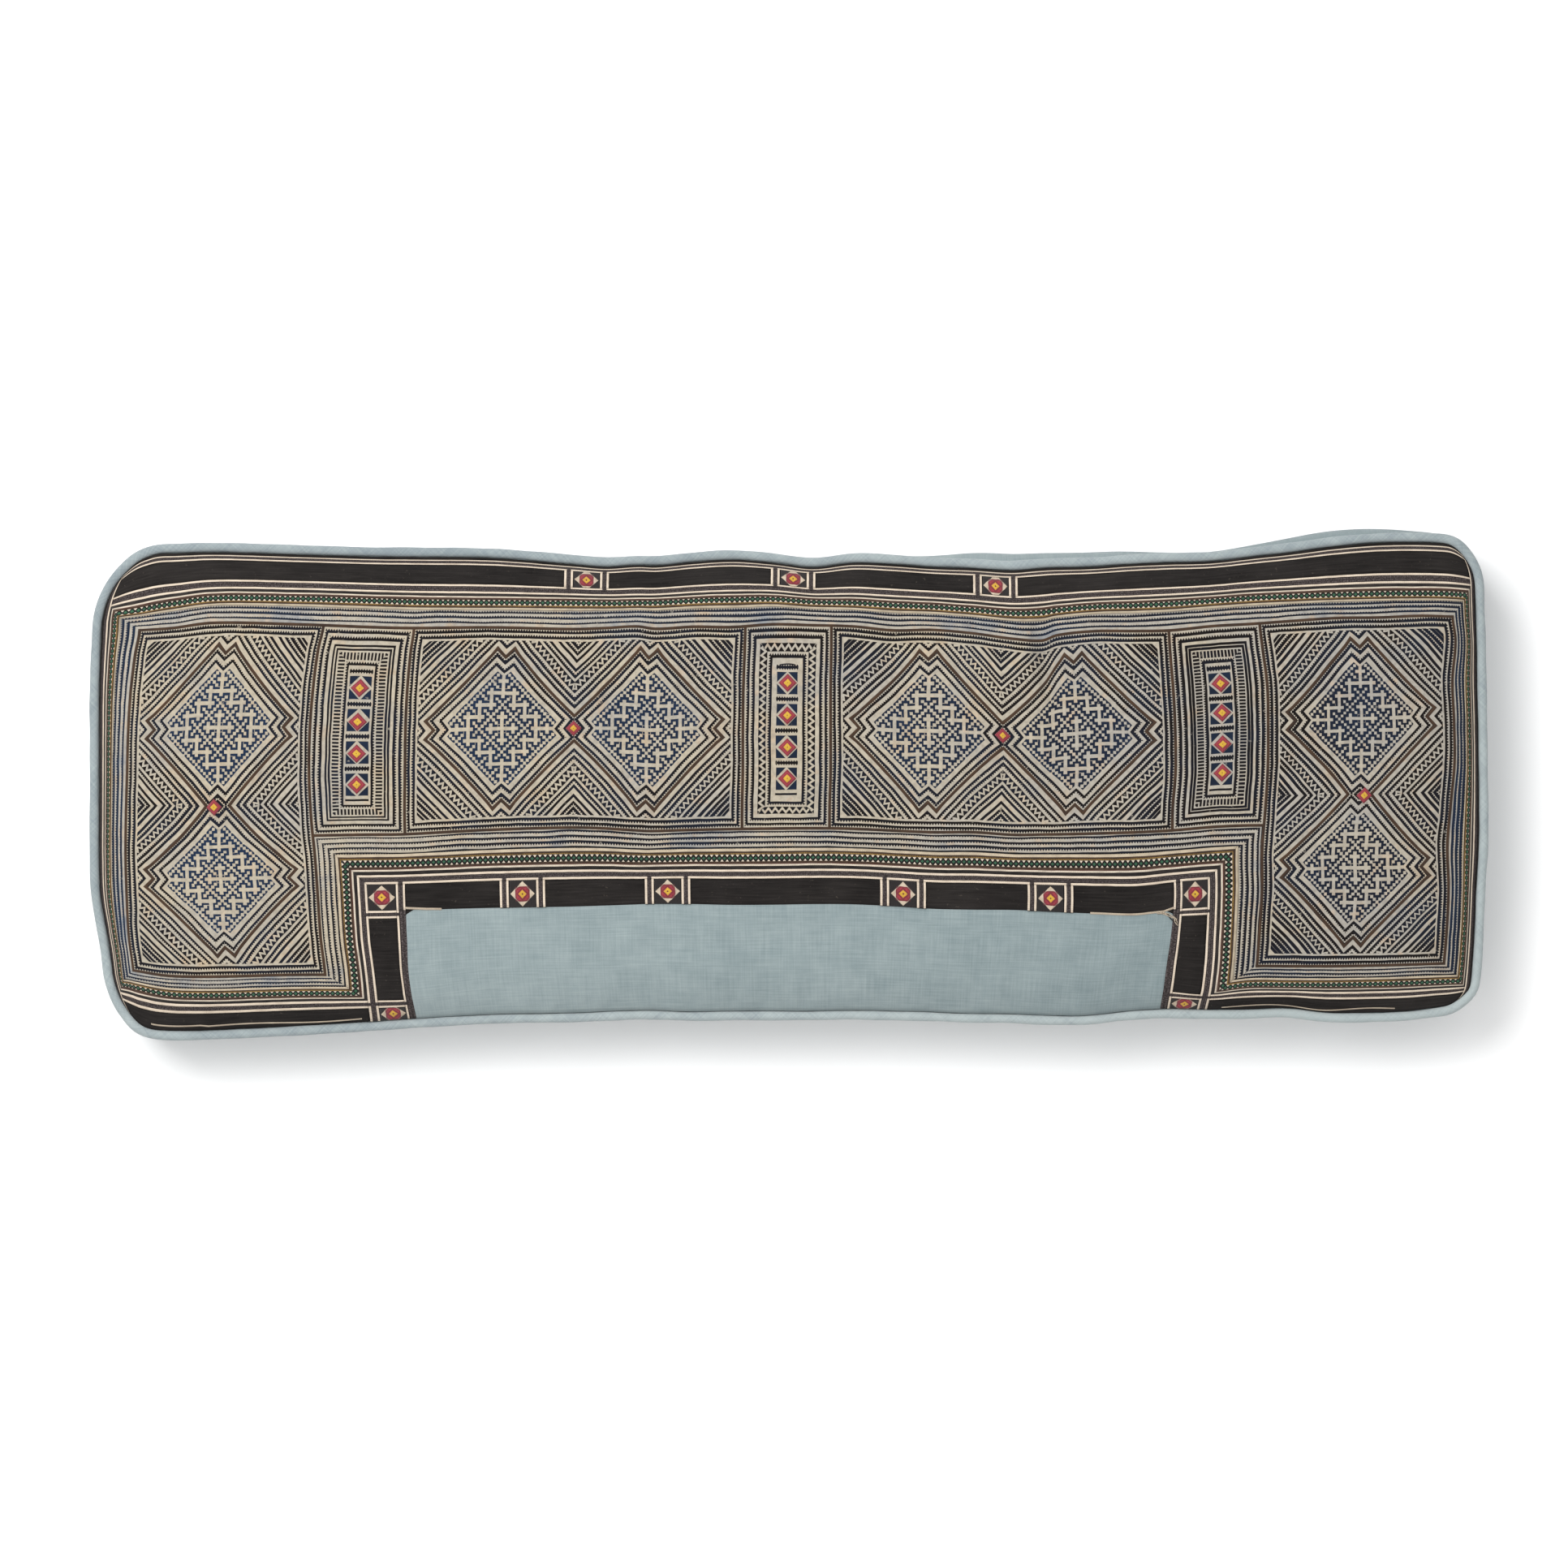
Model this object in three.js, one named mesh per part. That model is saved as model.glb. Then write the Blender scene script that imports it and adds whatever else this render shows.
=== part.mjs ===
// Box-edge bolster cushion whose face is an old batik cloth shaped like an upside-down U,
// lying on its back. Millimetres, X along the cushion, Y across it, Z up.
import * as THREE from 'three';

// Driving dimensions
const faceHalfLength = 500.7; // middle of the face to the end seams
const faceHalfWidth = 168; // middle of the face to the long seams
const seamHeight = 76; // front seam above the surface
const crownRise = 21; // face above its seam
const crownReach = 24; // distance in which most of that rise happens
const weltRadius = 3.3;
const weltOut = 3.65; // welt centre outside the seam
const weltLift = 0.4; // front welt centre above the seam
const backWeltHeight = 4.4;
const gap = 0.3; // between two layers of cloth
const trimGap = 0.5; // under small trims, which span the folds
const clothThickness = 1.2;
const tapeThickness = 1.7;
const braidThickness = 2.1;
const trimThickness = 1;
const stitchRise = 0.9; // embroidery above its square
const sideInset = 0.15; // each cloth edge drawn back from its seam line

// Corners of the face, rounded by drawing the corner of the plan in
const corners = [
  { x: -1, y: 1, reach: 41 },
  { x: 1, y: 1, reach: 26 },
  { x: -1, y: -1, reach: 36 },
  { x: 1, y: -1, reach: 18 },
];

// How far each seam row of the flat plan lies above (+) or below (-) its straight line
const sagRows = { seam: 168, braid: 135.5, couch: 117.6, low: -29.4, pocket: -85.3, foot: -146.4, hem: -168 };
const sag = [
  { x: -501, seam: -3, braid: -8, couch: -5, low: -3, pocket: -2, foot: 0, hem: -4 },
  { x: -484, seam: 2.5, braid: -6.5, couch: -3, low: -4, pocket: -2, foot: 1.5, hem: -5.5 },
  { x: -455, seam: 3, braid: -1.7, couch: -1.2, low: -6, pocket: -4, foot: -3.5, hem: -7.5 },
  { x: -425, seam: 3.7, braid: 2.4, couch: 2.6, low: -7, pocket: -4, foot: -4.5, hem: -7 },
  { x: -366, seam: 2, braid: 2.2, couch: 1.6, low: -5, pocket: -3, foot: -3, hem: -4 },
  { x: -307, seam: 0.4, braid: 0.6, couch: -0.6, low: -3.8, pocket: -3, foot: -3, hem: -0.4 },
  { x: -278, seam: 0.2, braid: -0.2, couch: -1.2, low: -3.5, pocket: -2.5, foot: -2.5, hem: 1.5 },
  { x: -219, seam: -0.6, braid: -0.7, couch: -0.7, low: -0.4, pocket: -1, foot: 4, hem: 4.6 },
  { x: -160, seam: -5.2, braid: -1, couch: -2, low: 1.4, pocket: 0, foot: 5, hem: 5.6 },
  { x: -137, seam: -7, braid: -1.2, couch: -1.2, low: 1, pocket: 0.7, foot: 5, hem: 6.6 },
  { x: -113, seam: -5.6, braid: -1, couch: 0, low: -0.5, pocket: 1.5, foot: 5.5, hem: 7.5 },
  { x: -99, seam: -6, braid: -0.8, couch: -1.8, low: -1.2, pocket: 2, foot: 5.5, hem: 7.4 },
  { x: -72, seam: -3.4, braid: 0.6, couch: -0.3, low: -0.4, pocket: 1.9, foot: 5, hem: 6.5 },
  { x: -43, seam: -1.8, braid: 1.5, couch: -0.6, low: 0.2, pocket: 1.3, foot: 5, hem: 7 },
  { x: -13, seam: -4, braid: 1.9, couch: 1.5, low: 0.6, pocket: 1.4, foot: 5, hem: 7 },
  { x: 16, seam: -7.3, braid: -0.2, couch: 0.9, low: 0.9, pocket: 1.8, foot: 5, hem: 7 },
  { x: 46, seam: -4, braid: -0.9, couch: 0, low: 0.5, pocket: 1.7, foot: 5.5, hem: 7.5 },
  { x: 75, seam: -5, braid: -2.6, couch: -2.9, low: -0.8, pocket: 0.3, foot: 5, hem: 7 },
  { x: 104, seam: -7, braid: -3.8, couch: -2.5, low: -2, pocket: -1.6, foot: 4, hem: 6.4 },
  { x: 134, seam: -8, braid: -6, couch: -5, low: -2, pocket: -2.2, foot: 3, hem: 5.2 },
  { x: 163, seam: -9.6, braid: -8.5, couch: -9, low: -3.9, pocket: -2.4, foot: 3, hem: 5 },
  { x: 185, seam: -8, braid: -7.8, couch: -10.3, low: -3.6, pocket: -3.6, foot: 2.5, hem: 4 },
  { x: 195, seam: -7.6, braid: -6.3, couch: -6.5, low: -3.5, pocket: -4, foot: 2.5, hem: 3.7 },
  { x: 222, seam: -7, braid: -3.8, couch: -3.5, low: -2.9, pocket: -5.1, foot: 1, hem: 3.7 },
  { x: 251, seam: -5, braid: -2.8, couch: -3.4, low: -2, pocket: -5.8, foot: 4, hem: 6.8 },
  { x: 278, seam: -3.8, braid: -1.6, couch: -3, low: -0.6, pocket: -2, foot: 3, hem: 8.4 },
  { x: 310, seam: -3, braid: 0.6, couch: 0.2, low: 2, pocket: 0, foot: 0, hem: 8 },
  { x: 340, seam: 0.3, braid: 2.7, couch: 1.9, low: 3, pocket: 2, foot: 3.5, hem: 8 },
  { x: 369, seam: 3.7, braid: 3.9, couch: 4.1, low: 2, pocket: 3, foot: 3.3, hem: 9 },
  { x: 398, seam: 7.8, braid: 4.8, couch: 6.1, low: 2.5, pocket: 3, foot: 3.3, hem: 5.7 },
  { x: 428, seam: 10.5, braid: 5.6, couch: 6.5, low: 3, pocket: 3.5, foot: 3.8, hem: 5.6 },
  { x: 457, seam: 11, braid: 5.8, couch: 7.8, low: 4, pocket: 4, foot: 4.6, hem: 6.8 },
  { x: 478, seam: 10, braid: 5.5, couch: 7.3, low: 4.5, pocket: 4, foot: 5.5, hem: 9.5 },
  { x: 501, seam: 8, braid: 4, couch: 7, low: 4, pocket: 4, foot: 6, hem: 12 },
];

// How far each upright seam line lies right (+) or left (-) of its straight line
const swayColumns = {
  endLeft: -500.7, frameLeft: -478.5, blockLeft: -343.7, legLeft: -306.8, notchLeft: -277, middle: 0,
  notchRight: 277, legRight: 306.8, blockRight: 344.5, frameRight: 479.5, endRight: 500.7,
};
const sway = [
  { y: -168, endLeft: 11, frameLeft: 6, blockLeft: 9, legLeft: 11, notchLeft: 7, middle: 0,
    notchRight: -8, legRight: -9, blockRight: -8.5, frameRight: -8, endRight: -8.4 },
  { y: -131, endLeft: 9.6, frameLeft: 2.8, blockLeft: 7.5, legLeft: 7.2, notchLeft: 1.8, middle: 0,
    notchRight: -4, legRight: -4.3, blockRight: -5.8, frameRight: -5, endRight: -5 },
  { y: -105, endLeft: 6, frameLeft: -0.4, blockLeft: 4.4, legLeft: 4, notchLeft: 0.8, middle: 0,
    notchRight: -0.6, legRight: -2.8, blockRight: -4, frameRight: -3, endRight: -3.6 },
  { y: -75, endLeft: 1, frameLeft: -1.7, blockLeft: 2.4, legLeft: 2.2, notchLeft: -0.6, middle: -0.4,
    notchRight: 1.5, legRight: -1.8, blockRight: -2.3, frameRight: -1.8, endRight: -2.4 },
  { y: -46, endLeft: 0, frameLeft: -2.5, blockLeft: 0.4, legLeft: 0.5, notchLeft: -1, middle: -0.6,
    notchRight: 0, legRight: -2.2, blockRight: -2.2, frameRight: -2.8, endRight: -0.6 },
  { y: -16, endLeft: 0, frameLeft: -2.2, blockLeft: -2.5, legLeft: -2.1, notchLeft: -1.8, middle: -0.6,
    notchRight: -0.5, legRight: 0.3, blockRight: 0.2, frameRight: -0.3, endRight: -0.4 },
  { y: 13, endLeft: 0, frameLeft: -1.4, blockLeft: -4, legLeft: -2.6, notchLeft: -1.5, middle: 0,
    notchRight: 1.7, legRight: 2, blockRight: 1.9, frameRight: 2.5, endRight: -0.8 },
  { y: 43, endLeft: 0, frameLeft: -0.6, blockLeft: -3.5, legLeft: -2.2, notchLeft: -1.2, middle: 0,
    notchRight: 1.5, legRight: 2, blockRight: 2.1, frameRight: 2.2, endRight: -1.2 },
  { y: 72, endLeft: 0, frameLeft: 1.2, blockLeft: -1.2, legLeft: -0.5, notchLeft: 0, middle: 0.2,
    notchRight: 0.2, legRight: 0.8, blockRight: 1.5, frameRight: 1, endRight: -1.8 },
  { y: 100, endLeft: 0.8, frameLeft: 4.6, blockLeft: 2.5, legLeft: 2.5, notchLeft: 2.5, middle: 1,
    notchRight: -2, legRight: -2, blockRight: -2, frameRight: 3.4, endRight: -2.2 },
  { y: 118, endLeft: 1.5, frameLeft: 8, blockLeft: 6.5, legLeft: 5.7, notchLeft: 5, middle: 1.2,
    notchRight: -3, legRight: -3.4, blockRight: -4, frameRight: 1.2, endRight: -2.8 },
  { y: 168, endLeft: 4, frameLeft: 9, blockLeft: 8, legLeft: 6.9, notchLeft: 6, middle: 1.5,
    notchRight: -4, legRight: -4.4, blockRight: -5, frameRight: 0, endRight: -4 },
];

// Soft folds of the face: where each one lies, which way it runs (degrees from X) and its form
const folds = [
  { x: 190, y: 100, run: 97, length: 46, width: 9, rise: -5 },
  { x: 170, y: 108, run: 100, length: 40, width: 11, rise: 2.6 },
  { x: -131, y: 140, run: 92, length: 36, width: 14, rise: -2.4 },
  { x: -118, y: 42, run: 90, length: 48, width: 9, rise: -1.2 },
  { x: -44, y: 142, run: 88, length: 34, width: 20, rise: 2.4 },
  { x: 16, y: 142, run: 90, length: 34, width: 14, rise: -2.8 },
  { x: 80, y: 118, run: 85, length: 26, width: 12, rise: -1.8 },
  { x: -278, y: 150, run: 95, length: 30, width: 18, rise: -2.2 },
  { x: -300, y: -20, run: 80, length: 60, width: 30, rise: 1.6 },
  { x: 300, y: -120, run: 75, length: 30, width: 10, rise: -2 },
  { x: 400, y: -156, run: 5, length: 40, width: 8, rise: -2 },
  { x: 0, y: -130, run: 2, length: 220, width: 26, rise: 1.6 },
];

// Where the boxing stands out past its welt: place along the cushion, which long side, how far
const bulges = [
  { x: 385, side: 1, reach: 70, out: 6.4 },
  { x: 225, side: 1, reach: 45, out: 4.2 },
  { x: 150, side: 1, reach: 48, out: 7.6 },
  { x: -190, side: -1, reach: 40, out: 2.4 },
  { x: -380, side: -1, reach: 60, out: 1.5 },
];

// Side of the cushion from the front seam down: how far out of the seam line, and how high
const sideProfile = [
  { out: 0.1, z: seamHeight - 1.7, puff: 0 },
  { out: 2.3, z: seamHeight - 5, puff: 0.3 },
  { out: 4.8, z: seamHeight - 16, puff: 0.9 },
  { out: 5.6, z: 42, puff: 1 },
  { out: 4.6, z: 24, puff: 0.8 },
  { out: 2.2, z: 12, puff: 0.3 },
  { out: 0, z: 8.4, puff: 0 },
  { out: -0.4, z: 4.2, puff: 0 },
  { out: -4, z: 1.4, puff: 0 },
  { out: -13, z: 0, puff: 0 },
];

// Seam lines of the flat plan, left to right and bottom to top
const line = {
  endLeft: -faceHalfLength, tapeLeft: -497, braidLeft: -490,
  ringLeft: -329.2, hemTapeLeft: -314.5, legLeft: -307.5, pocketTapeLeft: -284.8, pocketLeft: -277.5,
  pocketRight: 277, pocketTapeRight: 284, legRight: 304.5, hemTapeRight: 312, ringRight: 327.2,
  braidRight: 489.6, tapeRight: 496.8, endRight: faceHalfLength,
  hem: -faceHalfWidth, footBand: -157.1, footTape: -150.9, footBraid: -140.5,
  legTop: -91, pocketTop: -85.3, notchBand: -66, notchTape: -59.1, notchBraid: -43.8,
  topBraid: 130.2, topTape: 142, topBand: 148.6, outerTape: 162.4, seam: faceHalfWidth,
};
const columns = [
  line.endLeft, line.tapeLeft, line.braidLeft, -478.5, -455, -427, -399, -371, -343.7,
  line.ringLeft, line.hemTapeLeft, line.legLeft, line.pocketTapeLeft, line.pocketLeft,
  -248, -219, -190, -160, -137, -113, -86, -60, -33, -6, 16, 42, 68, 94, 120, 144, 168, 185, 197,
  222, 250, line.pocketRight, line.pocketTapeRight, line.legRight, line.hemTapeRight,
  line.ringRight, 344.5, 371, 399, 427, 455, 479.5, line.braidRight, line.tapeRight, line.endRight,
];
const rows = [
  line.hem, line.footBand, line.footTape, line.footBraid, -123.5, -107, line.legTop, line.pocketTop,
  line.notchBand, line.notchTape, line.notchBraid, -29.4, -8.4, 12.6, 33.6, 54.6, 75.6, 96.6, 117.6,
  line.topBraid, line.topTape, line.topBand, line.outerTape, line.seam,
];

// Embroidered squares on the two long bands, the tapes beside them and the small diamonds
const squareHalf = 9.6;
const tieWidth = 6.6;
const bandSquares = {
  top: { low: line.topBand, high: line.outerTape, middles: [-150.8, 1.4, 150.8] },
  notch: { low: line.pocketTop, high: line.notchBand, middles: [-192.6, -87.6, 82.2, 188.2] },
};
const diamondHalf = 5.6;
const columnDiamonds = [
  { column: 1, x: -310.5, y: [74.5, 50.5, 28, 6] },
  { column: 2, x: -1.5, y: [75.5, 52, 29, 6.5] },
  { column: 3, x: 311.5, y: [75.5, 54, 31, 10] },
];
const meetingDiamonds = [
  { name: 'diamond_block_left', x: -414, y: -8 },
  { name: 'diamond_block_right', x: 415.5, y: -8 },
  { name: 'diamond_panel_1', x: -155.5, y: 44.1 },
  { name: 'diamond_panel_2', x: 153.6, y: 44.1 },
];

// Colours
const colour = {
  plain: 0xa4b2b4,
  black: 0x332f2d,
  batik: 0xb4a892,
  tape: 0x8a7f74,
  braid: 0x2f5a44,
  rose: 0xa8454f,
};

// Curves through tables
function between(knots, values, at) {
  if (at <= knots[0]) return values[0];
  const last = knots.length - 1;
  if (at >= knots[last]) return values[last];
  let i = 0;
  while (knots[i + 1] < at) i += 1;
  const t = (at - knots[i]) / (knots[i + 1] - knots[i]);
  return values[i] + (values[i + 1] - values[i]) * t;
}

function slopeAt(knots, values, i) {
  const low = Math.max(i - 1, 0);
  const high = Math.min(i + 1, knots.length - 1);
  return (values[high] - values[low]) / (knots[high] - knots[low]);
}

function smooth(knots, values, at) {
  if (at <= knots[0]) return values[0];
  const last = knots.length - 1;
  if (at >= knots[last]) return values[last];
  let i = 0;
  while (knots[i + 1] < at) i += 1;
  const step = knots[i + 1] - knots[i];
  const t = (at - knots[i]) / step;
  const rise = slopeAt(knots, values, i) * step;
  const fall = slopeAt(knots, values, i + 1) * step;
  return (1 + 2 * t) * (1 - t) ** 2 * values[i] + t * (1 - t) ** 2 * rise
    + t * t * (3 - 2 * t) * values[i + 1] + t * t * (t - 1) * fall;
}

// The cloth as it lies: from the flat plan (u, v) to the face
const sagKnots = sag.map((station) => station.x);
const swayKnots = sway.map((station) => station.y);
const sagNames = Object.keys(sagRows).reverse();
const swayNames = Object.keys(swayColumns);

function roundCorner(u, v) {
  for (const corner of corners) {
    const p = (corner.x * u - (faceHalfLength - corner.reach)) / corner.reach;
    const q = (corner.y * v - (faceHalfWidth - corner.reach)) / corner.reach;
    if (p > 0 && q > 0) {
      const inward = faceHalfLength - corner.reach + p * Math.sqrt(1 - q * q / 2) * corner.reach;
      const across = faceHalfWidth - corner.reach + q * Math.sqrt(1 - p * p / 2) * corner.reach;
      return [corner.x * inward, corner.y * across];
    }
  }
  return [u, v];
}

function foldRise(x, y) {
  let rise = 0;
  for (const fold of folds) {
    const turn = THREE.MathUtils.degToRad(fold.run);
    const along = ((x - fold.x) * Math.cos(turn) + (y - fold.y) * Math.sin(turn)) / fold.length;
    const across = ((y - fold.y) * Math.cos(turn) - (x - fold.x) * Math.sin(turn)) / fold.width;
    rise += fold.rise * Math.exp(-along * along - across * across);
  }
  return rise;
}

function layPoint(u, v) {
  const sags = sagNames.map((name) => smooth(sagKnots, sag.map((station) => station[name]), u));
  const sways = swayNames.map((name) => smooth(swayKnots, sway.map((station) => station[name]), v));
  const [x, y] = roundCorner(u, v);
  const fromEnd = 1 - Math.exp(-(faceHalfLength - Math.abs(u)) / crownReach);
  const fromSide = 1 - Math.exp(-(faceHalfWidth - Math.abs(v)) / crownReach);
  const crown = fromEnd * fromSide;
  return new THREE.Vector3(
    x + between(swayNames.map((name) => swayColumns[name]), sways, u),
    y + between(sagNames.map((name) => sagRows[name]), sags, v),
    seamHeight + crown * (crownRise + foldRise(u, v)),
  );
}

const grid = columns.map((u) => rows.map((v) => layPoint(u, v)));

function facetPoint(u, v) {
  let i = 0;
  while (i < columns.length - 2 && columns[i + 1] < u) i += 1;
  let j = 0;
  while (j < rows.length - 2 && rows[j + 1] < v) j += 1;
  const s = (u - columns[i]) / (columns[i + 1] - columns[i]);
  const t = (v - rows[j]) / (rows[j + 1] - rows[j]);
  const corner = grid[i][j];
  const far = grid[i + 1][j + 1];
  const point = corner.clone();
  if (s >= t) {
    const right = grid[i + 1][j];
    return point.addScaledVector(right.clone().sub(corner), s).addScaledVector(far.clone().sub(right), t);
  }
  const above = grid[i][j + 1];
  return point.addScaledVector(above.clone().sub(corner), t).addScaledVector(far.clone().sub(above), s);
}

// Solids
const cushion = new THREE.Group();

function addMesh(name, points, triangles, color, roughness = 0.9) {
  const geometry = new THREE.BufferGeometry();
  geometry.setAttribute('position', new THREE.Float32BufferAttribute(points.flatMap((p) => [p.x, p.y, p.z]), 3));
  geometry.setIndex(triangles);
  geometry.computeVertexNormals();
  const mesh = new THREE.Mesh(geometry, new THREE.MeshStandardMaterial({ color, roughness, metalness: 0 }));
  mesh.name = name;
  cushion.add(mesh);
}

function quad(triangles, a, b, c, d) {
  triangles.push(a, b, c, a, c, d);
}

function inside(rects, u, v) {
  return rects.some(([left, right, low, high]) => u > left && u < right && v > low && v < high);
}

// A cloth that covers whole cells of the plan, with upright edges
function addCloth(name, rects, holes, thickness, color) {
  const covered = (i, j) => {
    if (i < 0 || j < 0 || i > columns.length - 2 || j > rows.length - 2) return 0;
    const u = (columns[i] + columns[i + 1]) / 2;
    const v = (rows[j] + rows[j + 1]) / 2;
    return inside(rects, u, v) && !inside(holes, u, v) ? 1 : 0;
  };
  const points = [];
  const triangles = [];
  const known = new Map();
  const vertex = (i, j) => {
    const key = `${i},${j}`;
    if (!known.has(key)) {
      const right = covered(i, j) + covered(i, j - 1) - covered(i - 1, j) - covered(i - 1, j - 1);
      const up = covered(i, j) + covered(i - 1, j) - covered(i, j - 1) - covered(i - 1, j - 1);
      const u = columns[i] + Math.sign(right) * sideInset;
      const v = rows[j] + Math.sign(up) * sideInset;
      const under = facetPoint(u, v);
      known.set(key, points.length);
      points.push(under.clone().setZ(under.z + gap), under.clone().setZ(under.z + gap + thickness));
    }
    return known.get(key);
  };
  const wall = (a, b) => quad(triangles, a, b, b + 1, a + 1);
  for (let i = 0; i < columns.length - 1; i += 1) {
    for (let j = 0; j < rows.length - 1; j += 1) {
      if (!covered(i, j)) continue;
      const a = vertex(i, j);
      const b = vertex(i + 1, j);
      const c = vertex(i + 1, j + 1);
      const d = vertex(i, j + 1);
      quad(triangles, a + 1, b + 1, c + 1, d + 1);
      triangles.push(a, c, b, a, d, c);
      if (!covered(i, j - 1)) wall(a, b);
      if (!covered(i + 1, j)) wall(b, c);
      if (!covered(i, j + 1)) wall(c, d);
      if (!covered(i - 1, j)) wall(d, a);
    }
  }
  addMesh(name, points, triangles, color);
}

// A small trim that lies on the face: a grid of points given in the plan, raised where it is stitched
function addTrim(name, place, steps, lift, riseAt, color) {
  const points = [];
  const triangles = [];
  const row = steps + 1;
  for (let i = 0; i <= steps; i += 1) {
    for (let j = 0; j <= steps; j += 1) {
      const s = i / steps * 2 - 1;
      const t = j / steps * 2 - 1;
      const under = facetPoint(...place(s, t));
      points.push(under.clone().setZ(under.z + lift));
      points.push(under.clone().setZ(under.z + lift + trimThickness + riseAt(s, t)));
    }
  }
  const vertex = (i, j) => 2 * (i * row + j);
  for (let i = 0; i < steps; i += 1) {
    quad(triangles, vertex(i, 0), vertex(i + 1, 0), vertex(i + 1, 0) + 1, vertex(i, 0) + 1);
    quad(triangles, vertex(steps, i), vertex(steps, i + 1), vertex(steps, i + 1) + 1, vertex(steps, i) + 1);
    quad(triangles, vertex(i + 1, steps), vertex(i, steps), vertex(i, steps) + 1, vertex(i + 1, steps) + 1);
    quad(triangles, vertex(0, i + 1), vertex(0, i), vertex(0, i) + 1, vertex(0, i + 1) + 1);
    for (let j = 0; j < steps; j += 1) {
      const [a, b, c, d] = [vertex(i, j), vertex(i + 1, j), vertex(i + 1, j + 1), vertex(i, j + 1)];
      quad(triangles, a + 1, b + 1, c + 1, d + 1);
      triangles.push(a, c, b, a, d, c);
    }
  }
  addMesh(name, points, triangles, color);
}

// Edge of the face, anticlockwise, with the direction out of it at each point
function faceEdge() {
  const lastColumn = columns.length - 1;
  const lastRow = rows.length - 1;
  const edge = [];
  for (let i = 0; i < lastColumn; i += 1) edge.push([i, 0]);
  for (let j = 0; j < lastRow; j += 1) edge.push([lastColumn, j]);
  for (let i = lastColumn; i > 0; i -= 1) edge.push([i, lastRow]);
  for (let j = lastRow; j > 0; j -= 1) edge.push([0, j]);
  return edge.map(([i, j], k) => {
    const [before, after] = [edge.at(k - 1), edge[(k + 1) % edge.length]].map(([a, b]) => grid[a][b]);
    const out = new THREE.Vector3(after.y - before.y, before.x - after.x, 0).normalize();
    return { i, j, point: grid[i][j], out };
  });
}

const edge = faceEdge();

function bulgeAt(point) {
  let out = 0;
  for (const bulge of bulges) {
    const along = (point.x - bulge.x) / bulge.reach;
    if (point.y * bulge.side > 0) out += bulge.out * Math.exp(-along * along);
  }
  return out;
}

function addBody() {
  const points = grid.flat().map((point) => point.clone());
  const triangles = [];
  const at = (i, j) => i * rows.length + j;
  for (let i = 0; i < columns.length - 1; i += 1) {
    for (let j = 0; j < rows.length - 1; j += 1) quad(triangles, at(i, j), at(i + 1, j), at(i + 1, j + 1), at(i, j + 1));
  }
  let upper = edge.map(({ i, j }) => at(i, j));
  for (const level of sideProfile) {
    const lower = edge.map(({ point, out }) => {
      const reach = level.out + level.puff * bulgeAt(point);
      points.push(new THREE.Vector3(point.x + out.x * reach, point.y + out.y * reach, level.z));
      return points.length - 1;
    });
    for (let k = 0; k < edge.length; k += 1) {
      const next = (k + 1) % edge.length;
      quad(triangles, lower[k], lower[next], upper[next], upper[k]);
    }
    upper = lower;
  }
  points.push(new THREE.Vector3(0, 0, 0));
  upper.forEach((index, k) => triangles.push(points.length - 1, upper[(k + 1) % upper.length], index));
  addMesh('cushion_body', points, triangles, colour.plain);
}

// A piped welt: a round cord in its cloth, all round the seam
function addWelt(name, height, sides) {
  const points = [];
  const triangles = [];
  edge.forEach(({ point, out }, k) => {
    const next = ((k + 1) % edge.length) * sides;
    for (let side = 0; side < sides; side += 1) {
      const turn = (side + 0.5) / sides * 2 * Math.PI;
      const reach = weltOut + weltRadius * Math.cos(turn);
      const z = height + weltRadius * Math.sin(turn);
      points.push(new THREE.Vector3(point.x + out.x * reach, point.y + out.y * reach, z));
      const above = (side + 1) % sides;
      quad(triangles, k * sides + side, next + side, next + above, k * sides + above);
    }
  });
  addMesh(name, points, triangles, colour.plain);
}

addBody();
addWelt('welt_front', seamHeight + weltLift, 8);
addWelt('welt_back', backWeltHeight, 6);

const everything = [line.endLeft, line.endRight, line.hem, line.seam];
const batikRects = [
  [line.braidLeft, line.braidRight, line.notchBraid, line.topBraid],
  [line.braidLeft, line.ringLeft, line.footBraid, line.notchBraid],
  [line.ringRight, line.braidRight, line.footBraid, line.notchBraid],
];
const insideBraid = [
  [line.tapeLeft, line.tapeRight, line.notchTape, line.topTape],
  [line.tapeLeft, line.hemTapeLeft, line.footTape, line.notchTape],
  [line.hemTapeRight, line.tapeRight, line.footTape, line.notchTape],
];
const blackPieces = [
  { name: 'top_band', rect: [line.tapeLeft, line.tapeRight, line.topBand, line.outerTape] },
  { name: 'notch_band', rect: [line.pocketLeft, line.pocketRight, line.pocketTop, line.notchBand] },
  { name: 'foot_band_left', rect: [line.tapeLeft, line.hemTapeLeft, line.hem, line.footBand] },
  { name: 'foot_band_right', rect: [line.hemTapeRight, line.tapeRight, line.hem, line.footBand] },
  { name: 'leg_left', rect: [line.legLeft, line.pocketTapeLeft, line.footTape, line.legTop] },
  { name: 'leg_right', rect: [line.pocketTapeRight, line.legRight, line.footTape, line.legTop] },
];
const cornerSquares = [
  { name: 'patch_notch_1', rect: [line.legLeft, line.pocketTapeLeft, line.pocketTop, line.notchBand] },
  { name: 'patch_notch_6', rect: [line.pocketTapeRight, line.legRight, line.pocketTop, line.notchBand] },
  { name: 'patch_foot_left', rect: [line.legLeft, line.pocketTapeLeft, line.hem, line.footBand] },
  { name: 'patch_foot_right', rect: [line.pocketTapeRight, line.legRight, line.hem, line.footBand] },
];
const infillRect = [line.pocketLeft, line.pocketRight, line.hem, line.pocketTop];

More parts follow.
